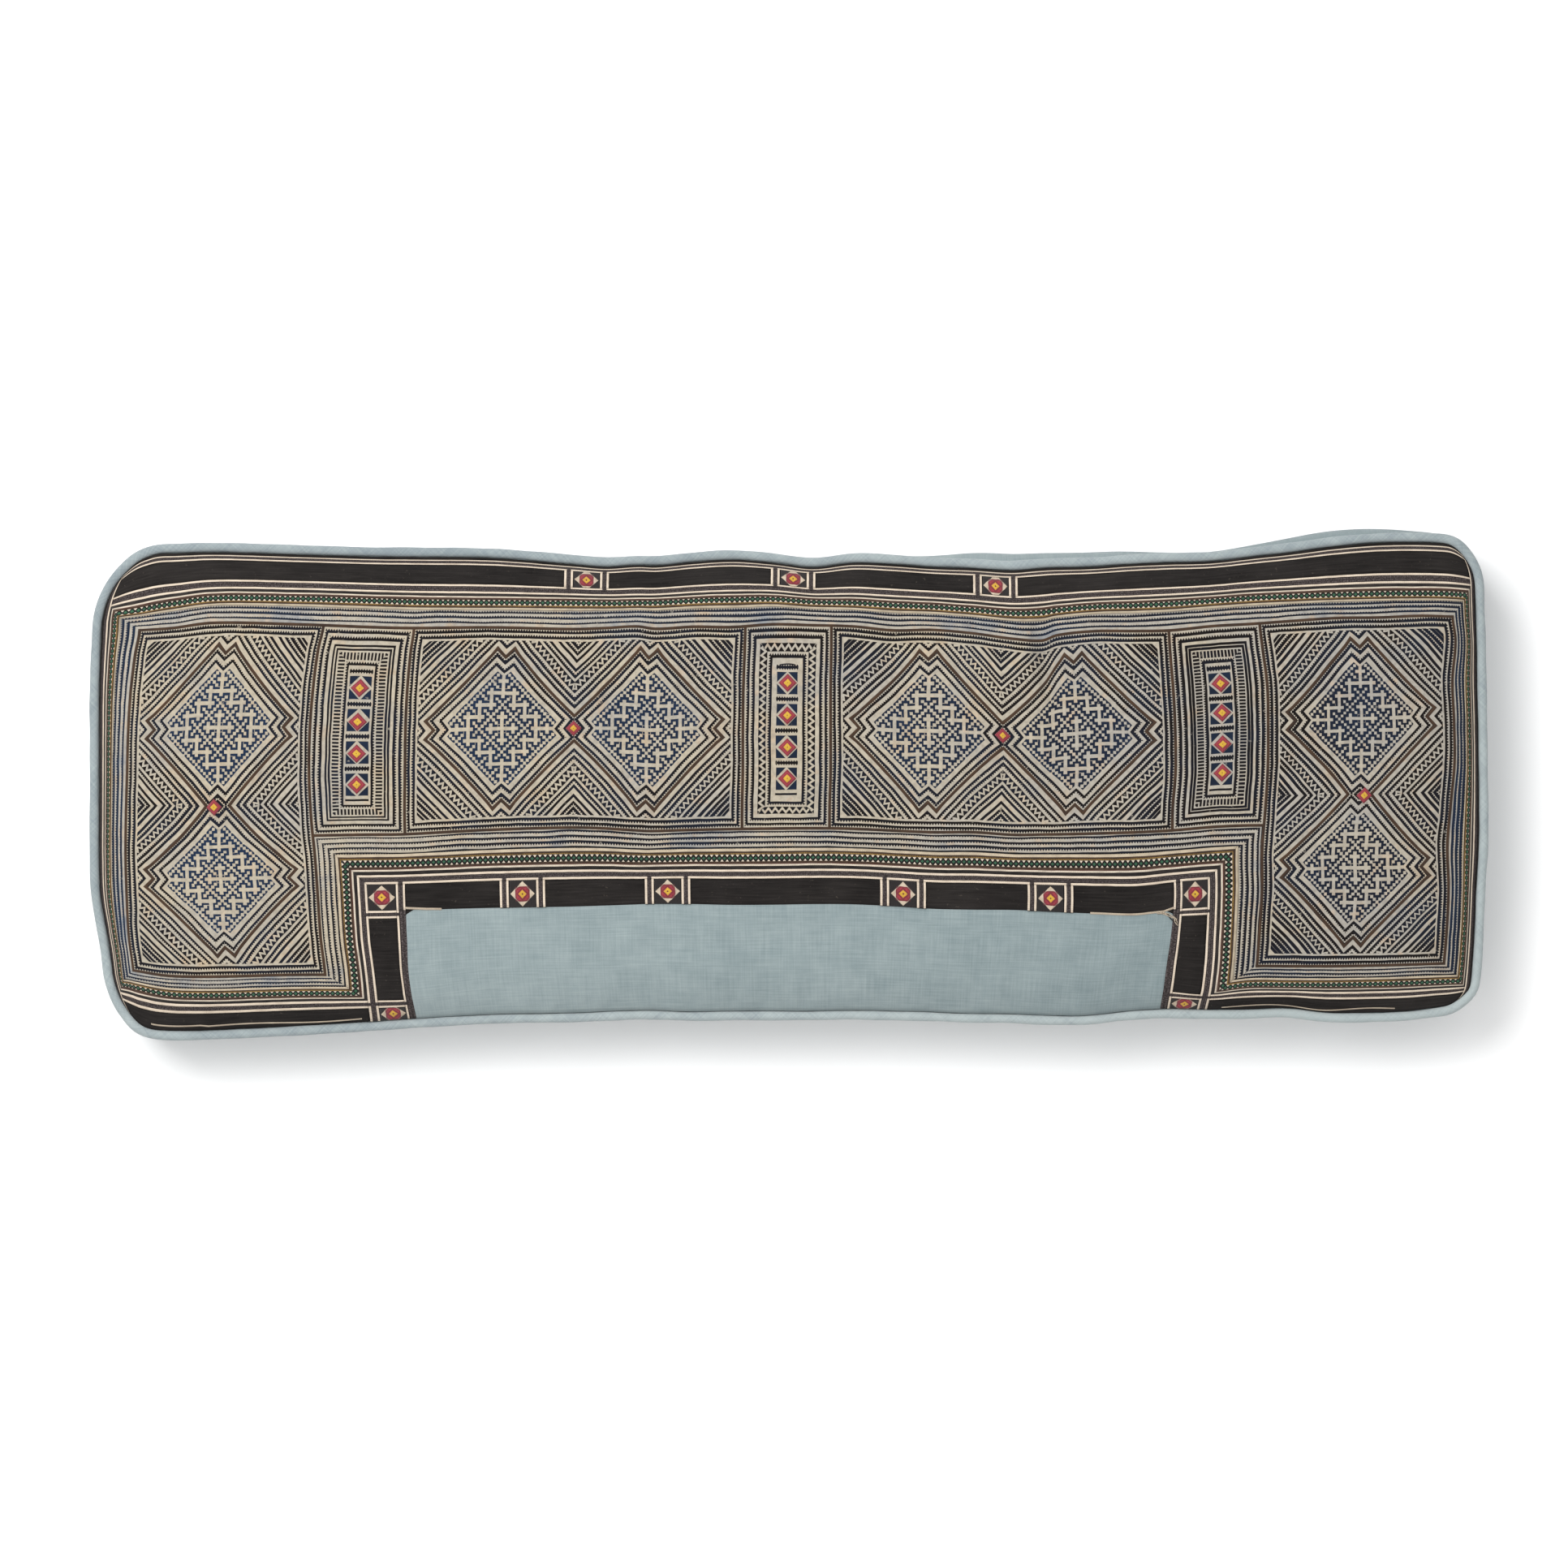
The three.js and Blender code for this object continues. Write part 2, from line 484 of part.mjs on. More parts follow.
addCloth('batik_cloth', batikRects, [], clothThickness, colour.batik);
addCloth('braid', insideBraid, batikRects, braidThickness, colour.braid);
addCloth('infill_panel', [infillRect], [], clothThickness, colour.plain);
for (const piece of blackPieces) addCloth(piece.name, [piece.rect], [], clothThickness, colour.black);
const others = [...blackPieces, ...cornerSquares].map((piece) => piece.rect);
addCloth('tape_border', [everything], [...insideBraid, infillRect, ...others], tapeThickness, colour.tape);

function addSquare(name, left, right, low, high, lift) {
  const place = (s, t) => [
    (left + right) / 2 + s * ((right - left) / 2 - sideInset),
    (low + high) / 2 + t * ((high - low) / 2 - sideInset),
  ];
  const stitched = (s, t) => (Math.abs(s) + Math.abs(t) < 0.6 ? stitchRise : 0);
  addTrim(name, place, 4, lift, stitched, colour.rose);
}

function addTie(name, middle, low, high, lift) {
  const place = (s, t) => [middle + s * tieWidth / 2, (low + high) / 2 + t * ((high - low) / 2 - sideInset)];
  addTrim(name, place, 2, lift, () => 0, colour.tape);
}

for (const square of cornerSquares) addSquare(square.name, ...square.rect, gap);

const onBand = gap + clothThickness + trimGap;
for (const [band, { low, high, middles }] of Object.entries(bandSquares)) {
  const firstSquare = band === 'top' ? 1 : 2;
  middles.forEach((middle, k) => {
    addSquare(`patch_${band}_${k + firstSquare}`, middle - squareHalf, middle + squareHalf, low, high, onBand);
    const tieOut = squareHalf + gap + tieWidth / 2;
    addTie(`tie_${band}_${2 * k + 1}`, middle - tieOut, low, high, onBand);
    addTie(`tie_${band}_${2 * k + 2}`, middle + tieOut, low, high, onBand);
  });
}

function addDiamond(name, x, y) {
  const place = (s, t) => [x + (s + t) / 2 * diamondHalf, y + (t - s) / 2 * diamondHalf];
  addTrim(name, place, 2, onBand, (s, t) => (s === 0 && t === 0 ? stitchRise / 2 : 0), colour.rose);
}

for (const { name, x, y } of meetingDiamonds) addDiamond(name, x, y);
for (const { column, x, y } of columnDiamonds) {
  y.forEach((height, k) => addDiamond(`diamond_column_${column}_${k + 1}`, x, height));
}

// The origin stands under the middle of the whole cushion
const box = new THREE.Box3().setFromObject(cushion);
const centre = box.getCenter(new THREE.Vector3());
cushion.position.set(-centre.x, -centre.y, -box.min.z);

export default cushion;
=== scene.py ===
import math
import bpy
import numpy as np
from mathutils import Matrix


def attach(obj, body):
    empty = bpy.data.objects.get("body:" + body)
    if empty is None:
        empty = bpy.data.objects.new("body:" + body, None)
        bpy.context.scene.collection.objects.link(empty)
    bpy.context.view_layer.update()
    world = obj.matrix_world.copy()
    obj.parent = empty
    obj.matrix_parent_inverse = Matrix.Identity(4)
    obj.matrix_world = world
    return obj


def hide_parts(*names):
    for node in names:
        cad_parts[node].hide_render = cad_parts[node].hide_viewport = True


# A long box-edge bolster cushion lying on its back. Its face is an old batik cloth shaped like an
# upside-down U, edged with a green braid, grey tapes and black cloth. Lengths are in millimetres
# on the flat plan of the face (u along, v across) and become metres when a mesh is made.

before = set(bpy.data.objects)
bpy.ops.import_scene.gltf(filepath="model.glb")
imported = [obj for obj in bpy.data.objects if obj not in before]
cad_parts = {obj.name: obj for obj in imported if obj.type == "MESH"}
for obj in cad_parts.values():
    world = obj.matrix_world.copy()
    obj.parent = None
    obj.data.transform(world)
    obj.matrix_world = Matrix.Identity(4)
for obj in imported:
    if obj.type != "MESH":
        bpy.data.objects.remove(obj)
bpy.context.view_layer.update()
scene = bpy.context.scene
print("frame loaded")

# ---- the view: straight down on the face, through a long lens
view = {"height": 9.0, "middleX": -0.0036, "middleY": 0.0003, "seenWidth": 1.136, "facePlane": 0.09}
cameraData = bpy.data.cameras.new("camera")
cameraData.sensor_width = 36
cameraData.lens = 36 * (view["height"] - view["facePlane"]) / view["seenWidth"]
cameraData.clip_end = 100
camera = bpy.data.objects.new("camera", cameraData)
camera.location = (view["middleX"], view["middleY"], view["height"])
scene.collection.objects.link(camera)
scene.camera = camera

# ---- how the flat face lies on the cushion
face = {
    "halfLength": 500.7, "halfWidth": 168, "seam": 76, "rise": 21, "reach": 24,
    "shiftX": 0.251, "shiftY": -3.206,
    "rolls": ((0.7, 3, 110), (0.22, 8, 34)),  # height, seed and length of its soft waves
    "gathers": {"height": 0.5, "wave": 2.9, "drift": (1.6, 5, 60), "from": 3, "to": 13},
}
cornerReach = {(-1, 1): 41, (1, 1): 26, (-1, -1): 36, (1, -1): 18}
sagRows = [168, 135.5, 117.6, -29.4, -85.3, -146.4, -168]
sagTable = [  # x, then how far each row above lies off its straight line
    (-501, -3, -8, -5, -3, -2, 0, -4), (-484, 2.5, -6.5, -3, -4, -2, 1.5, -5.5),
    (-455, 3, -1.7, -1.2, -6, -4, -3.5, -7.5), (-425, 3.7, 2.4, 2.6, -7, -4, -4.5, -7),
    (-366, 2, 2.2, 1.6, -5, -3, -3, -4), (-307, 0.4, 0.6, -0.6, -3.8, -3, -3, -0.4),
    (-278, 0.2, -0.2, -1.2, -3.5, -2.5, -2.5, 1.5), (-219, -0.6, -0.7, -0.7, -0.4, -1, 4, 4.6),
    (-160, -5.2, -1, -2, 1.4, 0, 5, 5.6), (-137, -7, -1.2, -1.2, 1, 0.7, 5, 6.6),
    (-113, -5.6, -1, 0, -0.5, 1.5, 5.5, 7.5), (-99, -6, -0.8, -1.8, -1.2, 2, 5.5, 7.4),
    (-72, -3.4, 0.6, -0.3, -0.4, 1.9, 5, 6.5), (-43, -1.8, 1.5, -0.6, 0.2, 1.3, 5, 7),
    (-13, -4, 1.9, 1.5, 0.6, 1.4, 5, 7), (16, -7.3, -0.2, 0.9, 0.9, 1.8, 5, 7),
    (46, -4, -0.9, 0, 0.5, 1.7, 5.5, 7.5), (75, -5, -2.6, -2.9, -0.8, 0.3, 5, 7),
    (104, -7, -3.8, -2.5, -2, -1.6, 4, 6.4), (134, -8, -6, -5, -2, -2.2, 3, 5.2),
    (163, -9.6, -8.5, -9, -3.9, -2.4, 3, 5), (185, -8, -7.8, -10.3, -3.6, -3.6, 2.5, 4),
    (195, -7.6, -6.3, -6.5, -3.5, -4, 2.5, 3.7), (222, -7, -3.8, -3.5, -2.9, -5.1, 1, 3.7),
    (251, -5, -2.8, -3.4, -2, -5.8, 4, 6.8), (278, -3.8, -1.6, -3, -0.6, -2, 3, 8.4),
    (310, -3, 0.6, 0.2, 2, 0, 0, 8), (340, 0.3, 2.7, 1.9, 3, 2, 3.5, 8),
    (369, 3.7, 3.9, 4.1, 2, 3, 3.3, 9), (398, 7.8, 4.8, 6.1, 2.5, 3, 3.3, 5.7),
    (428, 10.5, 5.6, 6.5, 3, 3.5, 3.8, 5.6), (457, 11, 5.8, 7.8, 4, 4, 4.6, 6.8),
    (478, 10, 5.5, 7.3, 4.5, 4, 5.5, 9.5), (501, 8, 4, 7, 4, 4, 6, 12),
]
swayColumns = [-500.7, -478.5, -343.7, -306.8, -277, 0, 277, 306.8, 344.5, 479.5, 500.7]
swayTable = [  # y, then how far each column above lies off its straight line
    (-168, 11, 6, 9, 11, 7, 0, -8, -9, -8.5, -8, -8.4),
    (-131, 9.6, 2.8, 7.5, 7.2, 1.8, 0, -4, -4.3, -5.8, -5, -5),
    (-105, 6, -0.4, 4.4, 4, 0.8, 0, -0.6, -2.8, -4, -3, -3.6),
    (-75, 1, -1.7, 2.4, 2.2, -0.6, -0.4, 1.5, -1.8, -2.3, -1.8, -2.4),
    (-46, 0, -2.5, 0.4, 0.5, -1, -0.6, 0, -2.2, -2.2, -2.8, -0.6),
    (-16, 0, -2.2, -2.5, -2.1, -1.8, -0.6, -0.5, 0.3, 0.2, -0.3, -0.4),
    (13, 0, -1.4, -4, -2.6, -1.5, 0, 1.7, 2, 1.9, 2.5, -0.8),
    (43, 0, -0.6, -3.5, -2.2, -1.2, 0, 1.5, 2, 2.1, 2.2, -1.2),
    (72, 0, 1.2, -1.2, -0.5, 0, 0.2, 0.2, 0.8, 1.5, 1, -1.8),
    (100, 0.8, 4.6, 2.5, 2.5, 2.5, 1, -2, -2, -2, 3.4, -2.2),
    (118, 1.5, 8, 6.5, 5.7, 5, 1.2, -3, -3.4, -4, 1.2, -2.8),
    (168, 4, 9, 8, 6.9, 6, 1.5, -4, -4.4, -5, 0, -4),
]
folds = [  # x, y, which way it runs, length, width, rise
    (190, 100, 97, 46, 9, -5), (170, 108, 100, 40, 11, 2.6), (-131, 140, 92, 36, 14, -2.4),
    (-118, 42, 90, 48, 9, -1.2), (-44, 142, 88, 34, 20, 2.4), (16, 142, 90, 34, 14, -2.8),
    (80, 118, 85, 26, 12, -1.8), (-278, 150, 95, 30, 18, -2.2), (-300, -20, 80, 60, 30, 1.6),
    (300, -120, 75, 30, 10, -2), (400, -156, 5, 40, 8, -2), (0, -130, 2, 220, 26, 1.6),
]
creases = [  # the finer gathers: x, y, which way it runs, length, width, rise
    (-118, 40, 90, 40, 2.4, -1.1), (196, 104, 95, 30, 4, -1.6), (182, 112, 99, 34, 5, -2.0),
    (-455, 92, 60, 40, 5, 0.8), (-360, 122, 88, 18, 8, -0.9), (-330, 124, 92, 16, 7, 0.8),
    (-150, 124, 88, 14, 7, 0.8), (-137, 124, 92, 16, 5, -1.0), (32, 124, 90, 16, 6, 0.8),
    (480, 60, 92, 60, 4, 0.8), (486, -20, 88, 70, 3.5, -0.8), (-484, 20, 90, 80, 4, -0.7),
    (-300, -134, 80, 26, 5, 1.2), (296, -130, 96, 30, 4, 1.4), (304, -112, 96, 20, 3, -1.2),
    (-60, -120, 4, 90, 10, -0.7), (150, -112, -6, 80, 9, 0.7), (230, -150, 10, 50, 7, -0.8),
]


def throughPoints(knots, values, at):
    # a smooth curve through a table's points
    low = np.maximum(np.arange(len(knots)) - 1, 0)
    high = np.minimum(np.arange(len(knots)) + 1, len(knots) - 1)
    slopes = (values[high] - values[low]) / (knots[high] - knots[low])
    at = np.clip(at, knots[0], knots[-1])
    i = np.clip(np.searchsorted(knots, at, side="right") - 1, 0, len(knots) - 2)
    step = knots[i + 1] - knots[i]
    t = (at - knots[i]) / step
    return ((1 + 2 * t) * (1 - t) ** 2 * values[i] + t * (1 - t) ** 2 * slopes[i] * step
            + t * t * (3 - 2 * t) * values[i + 1] + t * t * (t - 1) * slopes[i + 1] * step)


def acrossLines(knots, values, at):
    # straight between lines, where each line has its own value at every point
    total = values[0]
    for k in range(len(knots) - 1):
        total = total + (values[k + 1] - values[k]) * np.clip((at - knots[k]) / (knots[k + 1] - knots[k]), 0, 1)
    return total


def roundCorners(u, v):
    x, y = u.copy(), v.copy()
    for (sideX, sideY), reach in cornerReach.items():
        innerX, innerY = face["halfLength"] - reach, face["halfWidth"] - reach
        p, q = (sideX * u - innerX) / reach, (sideY * v - innerY) / reach
        inCorner = (p > 0) & (q > 0)
        p, q = np.clip(p, 0, 1.2), np.clip(q, 0, 1.2)
        x = np.where(inCorner, sideX * (innerX + reach * p * np.sqrt(1 - q * q / 2)), x)
        y = np.where(inCorner, sideY * (innerY + reach * q * np.sqrt(1 - p * p / 2)), y)
    return x, y


def foldHeights(table, u, v):
    rise = np.zeros_like(u)
    for x, y, run, length, width, height in table:
        turn = math.radians(run)
        along = ((u - x) * math.cos(turn) + (v - y) * math.sin(turn)) / length
        across = ((v - y) * math.cos(turn) - (u - x) * math.sin(turn)) / width
        rise += height * np.exp(-along * along - across * across)
    return rise


def unevenness(u, v, seed, length, count=9):
    # a soft, rolling surface made of a few waves that run in all directions
    dice = np.random.RandomState(seed)
    total = np.zeros_like(u)
    for turn in dice.uniform(0, math.pi, count):
        wave = length * dice.uniform(0.7, 1.5)
        total += np.sin((u * math.cos(turn) + v * math.sin(turn)) * 2 * math.pi / wave + dice.uniform(0, 6.28))
    return total / math.sqrt(count)


def facePoint(u, v):
    # from the flat plan to the face as it lies, in millimetres
    u, v = np.asarray(u, float), np.asarray(v, float)
    sag, sway = np.array(sagTable, float).T, np.array(swayTable, float).T
    x, y = roundCorners(u, v)
    x = x + acrossLines(swayColumns, [throughPoints(sway[0], column, v) for column in sway[1:]], u)
    y = y + acrossLines(sagRows[::-1], [throughPoints(sag[0], row, u) for row in sag[:0:-1]], v)
    fromEnd = np.maximum(face["halfLength"] - np.abs(u), 0)
    fromSide = np.maximum(face["halfWidth"] - np.abs(v), 0)
    crown = (1 - np.exp(-fromEnd / face["reach"])) * (1 - np.exp(-fromSide / face["reach"]))
    nearest = np.minimum(fromEnd, fromSide)
    z = face["seam"] + crown * (face["rise"] + foldHeights(folds, u, v) + foldHeights(creases, u, v))
    z += crown * sum(height * unevenness(u, v, seed, length) for height, seed, length in face["rolls"])
    # small gathers along the seam
    g = face["gathers"]
    drift, seed, length = g["drift"]
    waves = np.sin(np.where(fromEnd < fromSide, v, u) / g["wave"] + drift * unevenness(u, v, seed, length))
    z += g["height"] * waves * np.exp(-nearest / g["to"]) * (1 - np.exp(-nearest / g["from"]))
    return x, y, z


def metres(x, y, z):
    points = np.stack([np.ravel(x) + face["shiftX"], np.ravel(y) + face["shiftY"], np.ravel(z)], axis=1)
    return points / 1000


# ---- meshes
def dress(piece, slotName, *nodes):
    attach(piece, "root")
    if nodes:
        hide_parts(*nodes)
    return piece


def meshPiece(name, points, faces, maps, looks, materials):
    # maps holds one plan coordinate for each corner of each face
    mesh = bpy.data.meshes.new(name)
    mesh.from_pydata(points.tolist(), [], faces.tolist())
    mesh.uv_layers.new(name="plan").data.foreach_set("uv", np.asarray(maps, np.float32).ravel())
    for material in materials:
        mesh.materials.append(material)
    if looks is not None:
        mesh.polygons.foreach_set("material_index", np.asarray(looks, np.int32))
    mesh.polygons.foreach_set("use_smooth", [True] * len(mesh.polygons))
    mesh.update()
    piece = bpy.data.objects.new(name, mesh)
    scene.collection.objects.link(piece)
    return piece


def evenly(start, end, step):
    return np.linspace(start, end, max(1, int(math.ceil(abs(end - start) / step))) + 1)


def linesThrough(stops, step):
    return np.concatenate([evenly(a, b, step)[:-1] for a, b in zip(stops[:-1], stops[1:])] + [stops[-1:]])


def gridOver(left, right, low, high, step):
    return np.meshgrid(evenly(left, right, step), evenly(low, high, step), indexing="ij")


def onStrip(o0, o1, i0, i1, s, t):
    # points of a strip between an outer and an inner edge, s along it and t across
    return [(1 - s) * ((1 - t) * a + t * c) + s * ((1 - t) * b + t * d) for a, b, c, d in zip(o0, o1, i0, i1)]


class Patch:
    # sheets of quads over grids of plan points, gathered before they become a piece
    def __init__(self):
        self.points, self.faces, self.maps, self.looks, self.count = [], [], [], [], 0

    def addPoints(self, points):
        self.points.append(points)
        self.count += len(points)
        return np.arange(self.count - len(points), self.count)

    def addFaces(self, faces, maps, looks):
        self.faces.append(faces)
        self.maps.append(maps)
        self.looks.append(looks)

    def addGrid(self, u, v, mapU, mapV, lift, look=0, keep=None, skirt=1.2, height=0):
        # u, v, mapU and mapV are two-dimensional arrays of the same shape
        x, y, z = facePoint(u, v)
        index = self.addPoints(metres(x, y, z + lift + height)).reshape(u.shape)
        first, last = slice(None, -1), slice(1, None)
        corners = ((first, first), (last, first), (last, last), (first, last))
        cells = np.stack([index[c] for c in corners], axis=2)
        cellMaps = np.stack([np.stack([mapU[c], mapV[c]], axis=-1) for c in corners], axis=2)
        mask = np.ones(cells.shape[:2], bool) if keep is None else keep
        looks = np.broadcast_to(look, mask.shape)
        self.addFaces(cells[mask], cellMaps[mask], looks[mask])
        if not skirt:
            return
        # the cut edges turn down to what carries the cloth
        padded = np.pad(mask, 1)
        for di, dj, p, q in ((0, -1, 0, 1), (1, 0, 1, 2), (0, 1, 2, 3), (-1, 0, 3, 0)):
            cut = mask & ~padded[1 + di:1 + di + mask.shape[0], 1 + dj:1 + dj + mask.shape[1]]
            if not cut.any():
                continue
            start, end = cells[cut][:, p], cells[cut][:, q]
            down = np.concatenate(self.points)[np.concatenate([start, end])]
            down[:, 2] -= skirt / 1000
            downStart, downEnd = np.split(self.addPoints(down), 2)
            turned = np.stack([downStart, downEnd, end, start], axis=1)
            self.addFaces(turned, cellMaps[cut][:, [p, q, q, p]], looks[cut])

    def makePiece(self, name, materials, slotName, *nodes):
        faces = np.concatenate(self.faces)
        used, kept = np.unique(faces, return_inverse=True)
        piece = meshPiece(name, np.concatenate(self.points)[used], kept.reshape(faces.shape),
                          np.concatenate(self.maps), np.concatenate(self.looks), materials)
        return dress(piece, slotName, *nodes)


# ---- materials
brightness = 0.77  # of a dye, against the strong light that keeps the floor white


def tint(*levels):
    # a colour as a paint program shows it, 0 to 255
    levels = [c / 255 for c in levels]
    return tuple(brightness * (c / 12.92 if c <= 0.04045 else ((c + 0.055) / 1.055) ** 2.4) for c in levels) + (1,)


def addNode(tree, kind, inputs, output=0, **settings):
    node = tree.nodes.new("ShaderNode" + kind)
    for setting, value in settings.items():
        setattr(node, setting, value)
    for slot, value in inputs.items():
        plug(tree, value, node.inputs[slot])
    return Wire(tree, node.outputs[output])


def plug(tree, value, slot):
    if isinstance(value, Wire):
        tree.links.new(value.socket, slot)
    else:
        slot.default_value = value


class Wire:
    # a value on its way through a material's nodes
    def __init__(self, tree, socket):
        self.tree, self.socket = tree, socket

    def math(self, operation, *others, clamp=False):
        return addNode(self.tree, "Math", dict(enumerate((self,) + others)), operation=operation, use_clamp=clamp)

    def parts(self):
        return [addNode(self.tree, "SeparateXYZ", {0: self}, k) for k in range(3)]

    def stretch(self, low, high):
        return addNode(self.tree, "MapRange", {"Value": self, "From Min": low, "From Max": high})

    def __add__(self, other): return self.math("ADD", other)
    def __sub__(self, other): return self.math("SUBTRACT", other)
    def __rsub__(self, other): return self.math("MULTIPLY", -1).math("ADD", other)
    def __mul__(self, other): return self.math("MULTIPLY", other)
    def __truediv__(self, other): return self.math("DIVIDE", other)
    def size(self): return self.math("ABSOLUTE")
    def sine(self): return self.math("SINE")
    def least(self, other): return self.math("MINIMUM", other)
    def most(self, other): return self.math("MAXIMUM", other)
    def above(self, other): return self.math("GREATER_THAN", other)
    def below(self, other): return self.math("LESS_THAN", other)
    def fromHalf(self): return (self.math("FRACT") - 0.5).size()
    def zigzag(self, pitch): return (self / pitch).fromHalf() * 2
    def inside(self, edge, soft): return ((edge - self) / soft + 0.5).math("ADD", 0.0, clamp=True)
    def choose(self, no, yes): return self * (yes - no) + no


def mostOf(wires):
    first, *rest = wires
    for wire in rest:
        first = first.most(wire)
    return first


class Finish:
    # a material in the making: x and y are its plan coordinates, place is where it lies on the cushion
    def __init__(self, name, values):
        self.material = bpy.data.materials.new(name)
        self.material.use_nodes = True
        self.tree, self.values = self.material.node_tree, values
        self.x, self.y, _ = addNode(self.tree, "UVMap", {}, uv_map="plan").parts()
        self.place = addNode(self.tree, "TexCoord", {}, "Object")

    def noise(self, scale, detail=2.0, roughness=0.5, at=None, part="Fac"):
        if at:
            at = addNode(self.tree, "CombineXYZ", dict(enumerate(at)))
        return addNode(self.tree, "TexNoise", {"Scale": scale, "Detail": detail, "Roughness": roughness,
                                               "Vector": at or self.place}, part)

    def shaken(self, scale, amount):
        # x and y as an unsteady hand draws them
        sway = self.noise(scale, part="Color").parts()
        return [value + (off - 0.5) * amount for value, off in zip((self.x, self.y), sway)]

    def hand(self, slope, base, unit=1.0):
        # how much thicker than thin a line was drawn, which grows to the right of the cloth
        return ((self.noise(13.0) - 0.5) * 0.8 + self.place.parts()[0] * slope + base) / unit

    def weave(self, pitch):
        # over and under, thread by thread
        across, along = ((value * (math.pi / pitch)).sine() for value in (self.x, self.y))
        return (across * along).above(0.0).choose(along.size(), across.size())

    def dye(self, colour):
        # a dye by its name or by its levels
        levels = self.values[colour] if isinstance(colour, str) else colour
        return tint(*levels) if isinstance(levels, tuple) else levels

    def blend(self, amount, first, second, kind="MIX"):
        return addNode(self.tree, "Mix", {0: amount, 6: self.dye(first), 7: self.dye(second)}, 2,
                       data_type="RGBA", blend_type=kind)

    def finish(self, colour, height, roughness, sheen):
        shader = self.tree.nodes["Principled BSDF"]
        bump = addNode(self.tree, "Bump", {"Strength": 1.0, "Distance": self.values["depth"], "Height": height})
        for slot, value in {"Base Color": colour, "Normal": bump, "Roughness": roughness, "Specular IOR Level": 0.12,
                            "Sheen Weight": sheen, "Sheen Roughness": 0.6}.items():
            plug(self.tree, value, shader.inputs[slot])
        return self.material


def toothedLine(across, along, centre, pitch, half=0.55, tooth=1.0, soft=0.25):
    # a drawn line with a row of teeth on its outer side
    half = half * 0.85
    teeth = along.zigzag(pitch) * tooth * 1.35 + half
    return (across - centre).inside(teeth, soft) * (centre - across).inside(half, soft)


def plainLine(across, centre, half, soft=0.25):
    return (across - centre).size().inside(half, soft)


plainCloth = {
    "light": (166, 180, 181), "deep": (131, 148, 151), "thread": 0.55, "depth": 0.00018,
    "fadeX": -0.25, "fadeY": 0.0,  # painted light and shade: how much paler the cloth is painted to the right and upwards
}
# the welt's cloth, with painted light: paler to the right and darker upwards
weltWithPaintedLight = {**plainCloth, "light": (186, 197, 197), "deep": (144, 156, 161), "fadeX": 0.12, "fadeY": -0.3}


def makePlainCloth(name, values):
    m = Finish(name, values)
    drift, fine = m.noise(4.0, 3.0, 0.55), m.noise(60.0, 3.0, 0.6)
    slubs = m.noise(1.0, at=(m.x * 0.03, m.y * 0.9))
    crossSlubs = m.noise(1.0, at=(m.x * 0.9, m.y * 0.03, 4.0))
    right, up, _ = m.place.parts()
    mottle = drift * 0.27 + fine * 0.25 + slubs * 0.26 + crossSlubs * 0.22
    # painted light and shade: paler or darker by where the cloth lies on the cushion
    amount = (mottle + right * values["fadeX"] + up * values["fadeY"]).stretch(0.37, 0.64)
    weave = m.weave(values["thread"])
    colour = m.blend(1.0, m.blend(amount, "deep", "light"), weave.choose(0.82, 1.0), "MULTIPLY")
    return m.finish(colour, weave * 0.55 + slubs * 0.5 + crossSlubs * 0.5 + fine * 0.5, 0.88, 0.18)


blackCloth = {"light": (54, 50, 48), "deep": (20, 17, 16), "lint": (118, 108, 98), "thread": 0.6, "depth": 0.0002}


def makeBlackCloth(name, values):
    m = Finish(name, values)
    streaks = m.noise(1.0, 3.0, 0.6, at=(m.x * 0.035, m.y * 0.8))
    colour = m.blend((m.noise(14.0, 4.0, 0.6) * 0.5 + streaks * 0.5).stretch(0.34, 0.72), "deep", "light")
    colour = m.blend(m.noise(420.0, 2.0, 0.7).stretch(0.66, 0.8) * 0.35, colour, "lint")
    return m.finish(colour, m.weave(values["thread"]) * 0.6 + streaks * 0.8, 0.9, 0.02)


tapeCloth = {
    "white": (224, 208, 188), "worn": (178, 160, 141), "grey": (100, 91, 90), "dark": (36, 30, 29),
    "whiteFrom": 0.49, "whiteTo": 0.97, "depth": 0.00035,
}


def makeTape(name, values):
    # x runs along the tape in millimetres, y across it from 0 to 1
    m = Finish(name, values)
    wander = (m.noise(1.0, at=(m.x * 0.09, 0.0)) - 0.5) * 0.07
    across = (m.y + wander - 0.5).size() * 2
    flecks = m.noise(1.0, 3.0, 0.65, at=(m.x * 1.1, m.y * 9.0))
    grey = m.blend(flecks.stretch(0.4, 0.64), "dark", "grey")
    grey = m.blend(plainLine(across, 0.0, 0.12, 0.1) * 0.5, grey, "dark")
    white = m.blend(m.noise(90.0, 3.0, 0.6).stretch(0.4, 0.75) * 0.55, "white", "worn")
    isWhite = (values["whiteFrom"] - across).inside(0.0, 0.05) * across.inside(values["whiteTo"], 0.06)
    shadow = plainLine(across, 0.42, 0.07, 0.06).most((0.985 - across).inside(0.0, 0.03))
    colour = m.blend(shadow * 0.85, m.blend(isWhite, grey, white), "dark")
    return m.finish(colour, flecks * 0.7 + (m.x * 4.2).sine() * 0.2, 0.85, 0.03)


batikDyes = {
    "cream": (193, 182, 161), "pale": (181, 175, 164), "ochre": (194, 164, 128), "peach": (212, 182, 150),
    "navy": (27, 45, 70), "soot": (17, 12, 11), "wash": (128, 137, 148), "toothPitch": 1.94, "depth": 0.00022,
}


